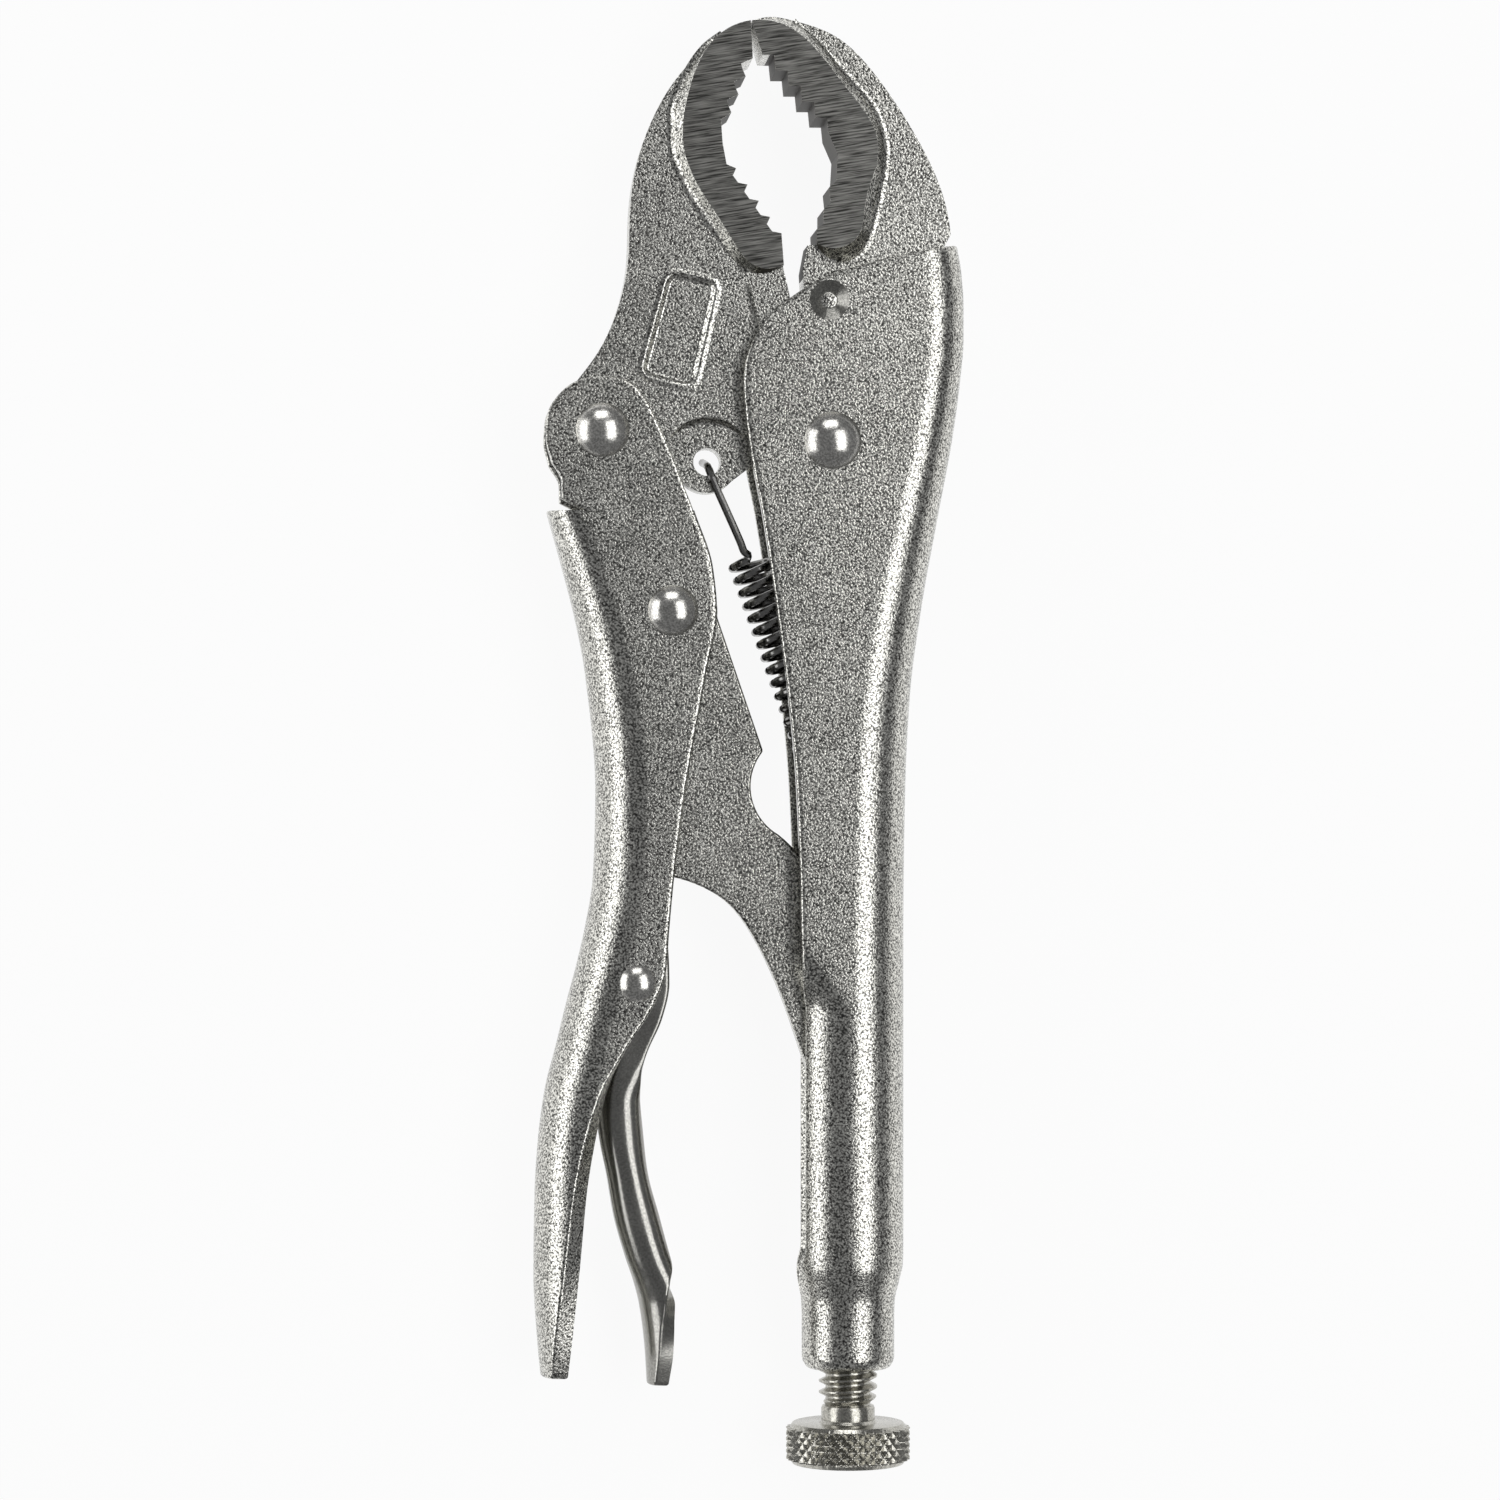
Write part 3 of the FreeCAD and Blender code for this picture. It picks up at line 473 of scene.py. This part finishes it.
def ground_pads(material, level):
    """Paints shade on the upright walls inside the mouth, between the jaws, with a dark, dull shader, and
    grinds the faces that lie level metres above and below the middle plane: darker, with scratches
    across. A noise stretched twenty times along the wheel's path, nine degrees off X, shades and lifts it."""
    tree = material.node_tree
    output = next(node for node in tree.nodes if node.type == "OUTPUT_MATERIAL")
    plated = output.inputs["Surface"].links[0].from_socket
    coordinates = add(tree, "ShaderNodeTexCoord")
    path = add(tree, "ShaderNodeMapping", {"Vector": coordinates.outputs["Object"],
                                           "Rotation": (0, 0, math.radians(9)),
                                           "Scale": (0.004, 0.0002, 0.0002)}, vector_type="TEXTURE")
    scratch = add(tree, "ShaderNodeTexNoise", {"Vector": path.outputs[0], "Scale": 1.0,
                                               "Detail": 3.0}).outputs["Fac"]
    shade = add(tree, "ShaderNodeMapRange", {"Value": scratch, "From Min": 0.36, "From Max": 0.64,
                                             "To Min": 0.25, "To Max": 1.75})
    tint = add(tree, "ShaderNodeVectorMath", {0: (0.17, 0.168, 0.158), "Scale": shade.outputs[0]},
               operation="SCALE")
    lift = add(tree, "ShaderNodeBump", {"Height": scratch, "Strength": 1.0, "Distance": 0.000025})
    ground = add(tree, "ShaderNodeBsdfPrincipled", {"Base Color": tint.outputs[0], "Metallic": 1.0,
                                                    "Roughness": 0.34, "Normal": lift.outputs[0]})
    place = add(tree, "ShaderNodeSeparateXYZ", {0: coordinates.outputs["Object"]})
    facing = add(tree, "ShaderNodeSeparateXYZ", {0: coordinates.outputs["Normal"]})
    off_middle = add(tree, "ShaderNodeMath", {0: place.outputs["Z"], 1: float(main_pivot[2])},
                     operation="SUBTRACT")
    height = add(tree, "ShaderNodeMath", {0: off_middle.outputs[0]}, operation="ABSOLUTE")
    level_up = add(tree, "ShaderNodeMath", {0: facing.outputs["Z"]}, operation="ABSOLUTE")
    high = add(tree, "ShaderNodeMath", {0: height.outputs[0], 1: level, 2: 0.00006}, operation="COMPARE")
    flat = add(tree, "ShaderNodeMath", {0: level_up.outputs[0], 1: 0.97}, operation="GREATER_THAN")
    mask = add(tree, "ShaderNodeMath", {0: high.outputs[0], 1: flat.outputs[0]}, operation="MULTIPLY")
    upright = add(tree, "ShaderNodeMath", {0: level_up.outputs[0], 1: 0.35}, operation="LESS_THAN")
    from_mouth = add(tree, "ShaderNodeVectorMath", {0: coordinates.outputs["Object"], 1: mouth_middle},
                     operation="SUBTRACT")
    across_mouth = add(tree, "ShaderNodeVectorMath", {0: from_mouth.outputs[0], 1: (1 / 0.0095, 1 / 0.0145, 0)},
                       operation="MULTIPLY")
    reach = add(tree, "ShaderNodeVectorMath", {0: across_mouth.outputs[0]}, operation="LENGTH")
    inside = add(tree, "ShaderNodeMath", {0: reach.outputs["Value"], 1: 1.0}, operation="LESS_THAN")
    mouth_shade_mask = add(tree, "ShaderNodeMath", {0: upright.outputs[0], 1: inside.outputs[0]}, operation="MULTIPLY")
    # Painted shade: a dark, dull shader on the upright walls inside the mouth, between the jaws
    side = add(tree, "ShaderNodeBsdfPrincipled", {"Base Color": (0.055, 0.05, 0.04, 1), "Roughness": 0.5,
                                                  "Specular IOR Level": 0.25})
    mouth_shaded = add(tree, "ShaderNodeMixShader", {0: mouth_shade_mask.outputs[0], 1: plated, 2: side.outputs[0]})
    mixed = add(tree, "ShaderNodeMixShader", {0: mask.outputs[0], 1: mouth_shaded.outputs[0], 2: ground.outputs[0]})
    tree.links.new(mixed.outputs[0], output.inputs["Surface"])


forged = plated_steel("forged_jaw", (0.48, 0.475, 0.445), 0.21)
ground_pads(forged, 0.0049)
fixed_jaw = softened("fixed_jaw_forging", "fixed_jaw", 0.00025, forged, "fixed_handle")
moving_jaw = softened("moving_jaw_forging", "moving_jaw", 0.00025, forged, "moving_jaw")


def swept(name, sections):
    """A closed solid through sections[station, place, xyz], all with the same places."""
    stations, places = sections.shape[:2]
    number = np.arange(stations * places).reshape(stations, places)
    right = np.roll(number, -1, axis=1)
    sides = np.stack([number[:-1], number[1:], right[1:], right[:-1]], -1).reshape(-1, 4)
    ends = [number[0].tolist(), number[-1][::-1].tolist()]
    return new_mesh(name, sections.reshape(-1, 3), sides.tolist() + ends)


def eased(share, start, end):
    """From start to end as half a cosine wave."""
    return start + (end - start) * (1 - np.cos(math.pi * share)) / 2


def run_out(name, path, inward, width, profile):
    """A sloping wall along a step. path and inward are points and unit directions, and profile
    gives (share of the width inward, height) from outside to inside; its foot is 0.25 deeper."""
    reach, level = profile.T
    reach = np.append(reach, [reach[-1], reach[0]])
    level = np.append(level, [level[-1] - 0.25] * 2)
    place = path[:, None] + inward[:, None] * (width[:, None, None] * reach[None, :, None])
    height = np.broadcast_to(level, place.shape[:2])
    return swept(name, np.concatenate([place, height[..., None]], -1))


def curve(points, count):
    """A smooth line through a few points, evenly sampled: the monotone cubic of each axis."""
    points = np.asarray(points, float)
    keys = np.concatenate([[0], np.cumsum(np.hypot(*np.diff(points, axis=0).T))])
    return smooth(keys, points, np.linspace(0, keys[-1], count))


def filleted(corners, radius, steps=7):
    """Corners rounded by parabolas that start and end at radius from each corner."""
    corners = np.asarray(corners, float)
    before = np.roll(corners, 1, axis=0) - corners
    after = np.roll(corners, -1, axis=0) - corners
    start = corners + radius * before / np.hypot(*before.T)[:, None]
    end = corners + radius * after / np.hypot(*after.T)[:, None]
    t = np.linspace(0, 1, steps)[:, None]
    blend = (1 - t) ** 2 * start[:, None] + 2 * t * (1 - t) * corners[:, None] + t ** 2 * end[:, None]
    return blend.reshape(-1, 2)


spring_eye = np.array([-15.5, -2.5])
crescent_turn = np.radians(np.linspace(20, 160, 40))
crescent_path = spring_eye + 5.85 * np.stack([np.cos(crescent_turn), np.sin(crescent_turn)], -1)
crescent_in = (spring_eye - crescent_path) / 5.85
crescent_width = 0.05 + 1.15 * np.sin(np.linspace(0, math.pi, 40))
panel_corners = [(-20.4, 21.4), (-14.15, 20.1), (-17.2, 6.7), (-24.0, 8.4)]
panel_path = filleted(panel_corners, 1.6)
panel_next = np.roll(panel_path, -1, axis=0) - np.roll(panel_path, 1, axis=0)
panel_in = np.stack([panel_next[:, 1], -panel_next[:, 0]], -1) / np.hypot(*panel_next.T)[:, None]
panel_path, panel_in = (np.vstack([line, line[:1]]) for line in (panel_path - 0.1 * panel_in, panel_in))
panel_width = np.full(len(panel_path), 0.85)
share = np.linspace(0, 1, 9)
crescent_fall = np.stack([share, eased(share, 3.41, 2.42)], -1)
panel_lip = np.concatenate([np.stack([share - 1, eased(share, 3.36, 3.53)], -1),
                            np.stack([share, eased(share, 3.53, 3.02)], -1)[1:]])
shoulder_share = np.linspace(0, 1, 8)
shoulder_fall = np.stack([shoulder_share, 3.41 + 0.5 * (1 - shoulder_share) ** 2], -1)
fixed_foot = curve([(-4.8, 52.85), (2.8, 45.3), (5.9, 41.2), (7.0, 36.5), (6.0, 30.0), (4.0, 24.25), (1.4, 22.9),
                    (-1.8, 24.85)], 90)
moving_foot = curve([(-10.4, 21.5), (-15.0, 27.05), (-18.4, 32.5), (-20.0, 37.0), (-20.1, 41.2), (-18.9, 44.6),
                     (-15.9, 49.4), (-13.6, 51.2)], 90)


def shoulder(foot):
    """A hollow fillet along a pad's foot, from 0.45 mm up its slope to 0.55 mm out on the body."""
    along = np.gradient(foot, axis=0)
    outward = np.stack([-along[:, 1], along[:, 0]], -1) / np.hypot(*along.T)[:, None]
    outward *= np.sign(((foot - (-7.0, 36.0)) * outward).sum())
    return run_out("shoulder", foot - 0.45 * outward, outward, np.ones(len(foot)), shoulder_fall)


for face in (1, -1):
    crescent = run_out("crescent", crescent_path, crescent_in, crescent_width, crescent_fall)
    rim = run_out("panel_rim", panel_path, panel_in, panel_width, panel_lip)
    for part, wall, jaw, body in (("crescent", crescent, "moving_jaw", "moving_jaw"),
                                  ("panel_rim", rim, "moving_jaw", "moving_jaw"),
                                  ("shoulder", shoulder(moving_foot), "moving_jaw", "moving_jaw"),
                                  ("shoulder", shoulder(fixed_foot), "fixed_jaw", "fixed_handle")):
        if face < 0:
            wall.transform(Matrix.Translation((0, 0, 2 * main_pivot[2])) @ Matrix.Diagonal((1, 1, -1, 1)))
            wall.flip_normals()
        piece(f"{jaw}_{part}_{'front' if face > 0 else 'back'}", wall, forged, body, jaw)

pin_edge = np.linspace(0, math.pi / 2, 5)
pin_end = np.vstack([[(0, pin_top + 0.04)], np.stack([0.85 + 0.25 * np.sin(pin_edge),
                                                     pin_top - 0.21 + 0.25 * np.cos(pin_edge)], -1)])
pin = turned("fixed_jaw_pin", np.vstack([pin_end, pin_end[::-1] * (1, -1)]), (pin_centre[0], pin_centre[1], 0), 40)
piece("fixed_jaw_pin_end", pin, forged, "fixed_handle", "fixed_jaw_pin")

# ------------------------------------------------------------------------------------------
# Rivets. Four headed pins, polished and nickel plated, with a low dome each side.
# ------------------------------------------------------------------------------------------
polished = plated_steel("bright_rivet", (0.6, 0.59, 0.56), 0.2, grain=0.3)


def rivet(name, node, seat, shank_share, body):
    """Two domes that sit on the sheet at seat from the middle, joined by the shank. A dome is
    the arc through its rim and top: r = R sin a, h = top - R (1 - cos a)."""
    low, high = (drawn(corner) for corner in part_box(node))
    centre = (low + high) / 2
    top = (high[2] - low[2]) / 2
    head = (high[0] - low[0]) / 2
    rise = top - seat - 0.12
    sphere = (head ** 2 + rise ** 2) / (2 * rise)
    swing = np.linspace(0, math.asin(head / sphere), 20)
    dome = np.stack([sphere * np.sin(swing), top - sphere * (1 - np.cos(swing))], -1)
    rim = [(head, seat + 0.03), (head - 0.06, seat - 0.02), (head * shank_share, seat - 0.02)]
    half = np.vstack([dome, rim])
    profile = np.vstack([half, half[::-1] * (1, -1)])
    return piece(name, turned(name, profile, (centre[0], centre[1], 0)), polished, body, node)


rivet("main_pivot_head", "main_pivot_rivet", tube_radius, 0.72, "fixed_handle")
for place in ("jaw_handle", "link", "release_lever"):
    rivet(f"{place}_head", f"{place}_rivet", 6.6, 0.66, "lower_handle")

# ------------------------------------------------------------------------------------------
# Lower handle. Folded from the same sheet: two flat ears on the jaw, a deep channel over the
# link and lever, and a tail that opens to a shallow trough; satin nickel plated.
# ------------------------------------------------------------------------------------------
grip_half = 6.6
grip_ribs = [
    (-35.6, -8.8, -17.3, -8.8, 0.60, grip_half, sheet_wall, 0, 1, 0, 0),
    (-33.65, -16.0, -14.95, -16.0, 0.76, grip_half, sheet_wall, 0, 1, 0, 0),
    (-32.25, -21.5, -14.45, -21.5, 0.84, grip_half, sheet_wall, 0, 1, 0, 0),
    (-30.8, -29.1, -15.8, -29.1, 0.91, grip_half, sheet_wall, 0, 1, 0, 0),
    (-29.5, -44.0, -18.4, -44.0, 0.985, grip_half, sheet_wall, 0, 1, 0, 0),
    (-29.8, -54.5, -19.8, -54.5, 0.985, grip_half, sheet_wall, 0, 1, 0, 0),
    (-30.9, -61.5, -20.45, -61.5, 0.985, grip_half, sheet_wall, 0, 1, 0, 0),
    (-32.0, -66.2, -20.8, -66.2, 0.985, grip_half, sheet_wall, 0, 1, 0, 0),
    (-33.1, -70.3, -22.2, -70.3, 0.985, grip_half, sheet_wall, 0, 1, 0, 0),
    (-34.5, -76.0, -25.65, -76.0, 0.985, grip_half, sheet_wall, 0, 1, 0, 0.1),
    (-35.9, -81.6, -28.2, -81.6, 0.985, grip_half, sheet_wall, 0, 1, 0, 0.6),
    (-36.75, -88.0, -29.7, -88.0, 0.985, grip_half, sheet_wall, 0, 1, 0, 1.2),
    (-37.15, -94.4, -30.75, -94.4, 0.985, grip_half, sheet_wall, 0, 1, 0, 1.5),
    (-37.3, -104.8, -32.0, -104.8, 0.985, grip_half, sheet_wall, 0, 1, 0, 1.6),
    (-36.8, -113.4, -33.4, -113.4, 0.985, grip_half, sheet_wall, 0, 1, 0, 1.5),
    (-36.4, -117.6, -34.2, -117.6, 0.985, grip_half, sheet_wall, 0, 1, 0, 1.2),
]
grip_mesh = folded_sheet("lower_handle", grip_ribs, rows=240, columns=100, end_rounds=(0, 0.3))
lower_handle = piece("lower_handle_sheet", grip_mesh, plated_sheet, "lower_handle", "lower_handle")


def stamped(name, outline, levels):
    """A plate from an outline (points, xy): rings at (inset, z) levels, each point moved in
    along its corner's bisector by the inset, and the first and last rings filled."""
    outline = np.asarray(outline, float)
    following = np.roll(outline, -1, axis=0) - outline
    area = (outline[:, 0] * np.roll(outline, -1, axis=0)[:, 1]
            - outline[:, 1] * np.roll(outline, -1, axis=0)[:, 0]).sum()
    along = following / np.hypot(*following.T)[:, None]
    inward = np.stack([-along[:, 1], along[:, 0]], -1) * np.sign(area)
    corner = inward + np.roll(inward, 1, axis=0)
    corner = corner / np.maximum((corner * inward).sum(1), 0.35)[:, None]
    rings = [np.column_stack([outline + inset * corner, np.full(len(outline), z)]) for inset, z in levels]
    number = np.arange(len(levels) * len(outline)).reshape(len(levels), -1)
    right = np.roll(number, -1, axis=1)
    sides = np.stack([number[:-1], right[:-1], right[1:], number[1:]], -1).reshape(-1, 4)
    return new_mesh(name, np.vstack(rings), sides.tolist() + [number[0][::-1].tolist(), number[-1].tolist()])


def rounded(low, high, radius):
    """Levels for stamped: a flat, then a quarter circle, at both edges."""
    turn = np.linspace(0, math.pi / 2, 4)
    inset = np.append(radius + 0.15, radius * (1 - np.sin(turn)))
    rise = np.append(0, radius * (1 - np.cos(turn)))
    return list(zip(inset, low + rise)) + list(zip(inset[::-1], high - rise[::-1]))


ear_turn = np.radians([188, 165, 140, 115, 90])
ear_radius = np.array([7.15, 7.15, 7.05, 6.9, 6.78])
ear_lobe = jaw_handle_pivot[:2] + ear_radius[:, None] * np.stack([np.cos(ear_turn), np.sin(ear_turn)], -1)
ear_outline = np.vstack([
    curve([(-35.3, -2.5), *ear_lobe, (-26.3, 7.6), (-24.9, 6.85), (-23.85, 5.75), (-22.5, 3.4), (-21.3, 0.8),
           (-19.7, -2.9), (-18.75, -5.5), (-17.45, -8.8), (-16.1, -13.6)], 110),
    [(-29.5, -13.6), (-30.5, -9.2)],
    curve([(-33.9, -7.4), (-33.95, -5.2), (-35.2, -2.8)], 12)])
for end, low in (("front", grip_half - sheet_wall), ("back", -grip_half)):
    levels = rounded(low + 0.01, low + sheet_wall - 0.01, 0.3)
    piece(f"lower_handle_ear_{end}", stamped(f"ear_{end}", ear_outline, levels), plated_sheet, "lower_handle",
          "lower_handle")

# ------------------------------------------------------------------------------------------
# Toggle link. Stamped plate with a turned boss at its rivet and a half-round notch.
# ------------------------------------------------------------------------------------------
toggle_link = softened("toggle_link_plate", "toggle_link", 0.0003, plated_sheet, "toggle_link")

# ------------------------------------------------------------------------------------------
# Release lever. Thinner sheet folded almost shut along its grip, smooth and bright.
# ------------------------------------------------------------------------------------------
lever_half = 4.35
lever_wall = 1.6
lever_ribs = [
    (-27.8, -59.0, -22.5, -59.0, 0.97, lever_half, lever_wall, 0, 0.6, 0, 0),
    (-28.6, -63.0, -20.5, -63.0, 0.97, lever_half, lever_wall, 0, 0.6, 0, 0),
    (-29.2, -68.0, -20.3, -68.0, 0.97, lever_half, lever_wall, 0, 0.6, 0, 0),
    (-29.5, -72.4, -21.2, -72.4, 0.95, lever_half, lever_wall, 0, 0.6, 0, 0),
    (-29.6, -76.2, -23.2, -76.2, 0.87, lever_half, lever_wall, 8, 0.6, 0, 0),
    (-29.65, -79.6, -25.2, -79.6, 0.77, lever_half, lever_wall, 36, 0.6, 0, 0),
    (-29.5, -83.0, -26.3, -83.0, 0.70, lever_half, lever_wall, 72, 0.6, 0, 0),
    (-29.0, -87.7, -26.0, -87.7, 0.68, lever_half, lever_wall, 84, 0.6, 0, 0),
    (-28.1, -92.3, -25.2, -92.3, 0.66, lever_half, lever_wall, 84, 0.55, 0, 0),
    (-27.2, -97.5, -24.0, -97.5, 0.70, lever_half, lever_wall, 84, 0.6, 0, 0),
    (-25.75, -102.7, -22.4, -102.7, 0.74, lever_half, lever_wall, 70, 0.6, 0, 0),
    (-24.7, -105.8, -21.0, -105.8, 0.82, lever_half, lever_wall, 30, 0.6, 0, 0.5),
    (-24.0, -108.6, -19.6, -108.6, 0.95, lever_half, lever_wall, 2, 0.6, 0, 1.2),
    (-23.25, -114.5, -20.1, -114.5, 0.95, lever_half, lever_wall, 0, 0.6, 0, 1.5),
    (-23.0, -118.7, -21.1, -118.7, 0.95, lever_half - 0.2, lever_wall, 0, 0.6, 0, 1.1),
]
smooth_nickel = plated_steel("bright_lever", (0.33, 0.325, 0.305), 0.2, grain=0.16)
lever_mesh = folded_sheet("release_lever", lever_ribs, rows=200, columns=90)
release_lever = piece("release_lever_sheet", lever_mesh, smooth_nickel, "release_lever", "release_lever")

# ------------------------------------------------------------------------------------------
# Adjusting screw. Turned from bright steel: an 18 to the inch thread, a plain neck and a
# diamond-knurled knob, all one piece.
# ------------------------------------------------------------------------------------------
screw_low, screw_high = (drawn(corner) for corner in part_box("adjusting_screw"))
screw_radius = 3.7
screw_pitch = 25.4 / 18
thread_depth = 0.85
knob_radius = (screw_high[0] - screw_low[0]) / 2
knob_length = 5.2
knob_chamfer = 0.5


def wave(phase):
    """A triangle wave from 0 to 1 and back in each whole number."""
    return 1 - np.abs(2 * (phase - np.floor(phase)) - 1)


def lathe_grid(name, radius, height, centre_x):
    """A closed shape about the screw's axis from arrays radius[level, angle] and height[level]:
    x = r cos a, z = r sin a, y = height, with a fan at each end."""
    levels, around = radius.shape
    angle = np.linspace(0, 2 * math.pi, around, endpoint=False)
    points = np.stack([centre_x + radius * np.cos(angle), height[:, None] + 0 * angle,
                       radius * np.sin(angle)], -1).reshape(-1, 3)
    points = np.vstack([points, [(centre_x, height[0], 0), (centre_x, height[-1], 0)]])
    number = np.arange(levels * around).reshape(levels, around)
    right = np.roll(number, -1, axis=1)
    sides = np.stack([number[:-1], number[1:], right[1:], right[:-1]], -1).reshape(-1, 4)
    first = np.stack([np.full(around, len(points) - 2), number[0], right[0]], -1)
    last = np.stack([np.full(around, len(points) - 1), right[-1], number[-1]], -1)
    return new_mesh(name, points, sides.tolist() + first.tolist() + last.tolist())


tip_y = screw_high[1]
knob_top = screw_low[1] + knob_length
neck_top = knob_top + 2.2
levels = np.arange(tip_y, neck_top, -screw_pitch / 14)
angle = np.linspace(0, 2 * math.pi, 72, endpoint=False)
flank = wave((levels[:, None] + screw_pitch * angle / (2 * math.pi)) / screw_pitch)
cut = np.clip(1.35 - 1.7 * flank, 0, 1)
fade = np.clip((levels[:, None] - neck_top) / 1.2, 0, 1) * np.clip((tip_y - levels[:, None]) / 1.0 + 0.3, 0, 1)
thread = screw_radius - thread_depth * (1 - (1 - cut) * fade)
neck = 3.4
tail_heights = np.array([neck_top - 0.05, neck_top - 0.4, knob_top + 0.35, knob_top])
tail_radii = np.array([neck - 0.15, neck, neck, neck + 0.3])[:, None] + 0 * angle
shank = lathe_grid("screw_shank", np.vstack([thread, tail_radii]), np.concatenate([levels, tail_heights]),
                   tube_axis_x)
screw_steel = plated_steel("screw_steel", (0.44, 0.43, 0.39), 0.22, grain=0.3)
piece("screw_shank", shank, screw_steel, "adjusting_screw", "adjusting_screw")

knurl_around = 32
knurl_rows = 2.6
knurl_depth = 0.6
knurl_length = knob_length - 2 * knob_chamfer - 0.2
angle = np.linspace(0, 2 * math.pi, knurl_around * 12, endpoint=False)
along_knurl = np.linspace(0, 1, 49)
left_hand = wave(knurl_around * angle / (2 * math.pi) + along_knurl[:, None] * knurl_rows)
right_hand = wave(knurl_around * angle / (2 * math.pi) - along_knurl[:, None] * knurl_rows)
crest = np.clip(np.minimum(left_hand, right_hand) * 1.25, 0, 1)
diamonds = knob_radius - knurl_depth * (1 - crest)
knurl_start = knob_top - knob_chamfer - 0.1
cap_radii = np.array([neck * 0.5, knob_radius - knob_chamfer - 0.45, knob_radius - knob_chamfer - 0.3,
                      knob_radius - 0.5])[:, None] + 0 * angle
cap_heights = np.array([knob_top, knob_top, knob_top - 0.05, knob_top - knob_chamfer])
bottom = knob_top - knob_length
radii = np.vstack([cap_radii, diamonds, cap_radii[::-1]])
heights = np.concatenate([cap_heights, knurl_start - along_knurl * knurl_length, bottom + (knob_top - cap_heights[::-1])])
knob = lathe_grid("screw_knob", radii, heights, tube_axis_x)
piece("screw_knob", knob, screw_steel, "adjusting_screw", "adjusting_screw")

# ------------------------------------------------------------------------------------------
# Opening spring. Blackened wire, close coiled, with a hook in the jaw's hole; the hook on the tab inside the fixed
# handle is not drawn.
# ------------------------------------------------------------------------------------------
wire_radius = 0.5
coil_radius = 2.7
coil_pitch = 1.72
coil_turns = 17
coil_top = np.array([-9.95, -14.1, 0.0])
coil_tilt = math.radians(19.6)


def wire(name, path, around=10):
    """Round wire along a path: rings across its tangent, turned least from a fixed direction."""
    tangent = np.gradient(path, axis=0)
    tangent /= np.linalg.norm(tangent, axis=1)[:, None]
    fixed = np.array([0.31, 0.22, 0.92])
    side = np.cross(tangent, fixed)
    side /= np.linalg.norm(side, axis=1)[:, None]
    other = np.cross(tangent, side)
    angle = np.linspace(0, 2 * math.pi, around, endpoint=False)
    ring = (path[:, None] + wire_radius * (np.cos(angle)[:, None] * side[:, None]
                                           + np.sin(angle)[:, None] * other[:, None]))
    return swept(name, ring)


coil_axis = np.array([math.sin(coil_tilt), -math.cos(coil_tilt), 0])
coil_side = np.array([math.cos(coil_tilt), math.sin(coil_tilt), 0])
turn = np.linspace(math.radians(105), 2 * math.pi * coil_turns, coil_turns * 30)
coil = (coil_top + coil_axis * (turn * coil_pitch / (2 * math.pi))[:, None]
        + coil_radius * (np.cos(turn)[:, None] * coil_side + np.sin(turn)[:, None] * np.array([0, 0, 1.0])))
hook_keys = np.array([(-15.8, -2.3, -2.9), (-15.55, -2.6, -1.2), (-15.4, -3.0, 1.4), (-15.2, -3.7, 2.7),
                      (-14.8, -4.8, 3.05), (-13.0, -8.9, 3.05), (-11.3, -12.75, 3.05),
                      (-10.85, -13.85, 3.0), coil[0] + (0.1, 0.55, 0.12), coil[0] + (0.02, 0.2, 0.05)])
hook_lengths = np.concatenate([[0], np.cumsum(np.linalg.norm(np.diff(hook_keys, axis=0), axis=1))])
hook = smooth(hook_lengths, hook_keys, np.linspace(0, hook_lengths[-1], 70))
black_wire = plated_steel("black_wire", (0.27, 0.267, 0.26), 0.17, grain=0.12)
spring_mesh = wire("opening_spring", np.vstack([hook, coil]))
spring = piece("opening_spring_wire", spring_mesh, black_wire, None, "opening_spring")
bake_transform(spring)
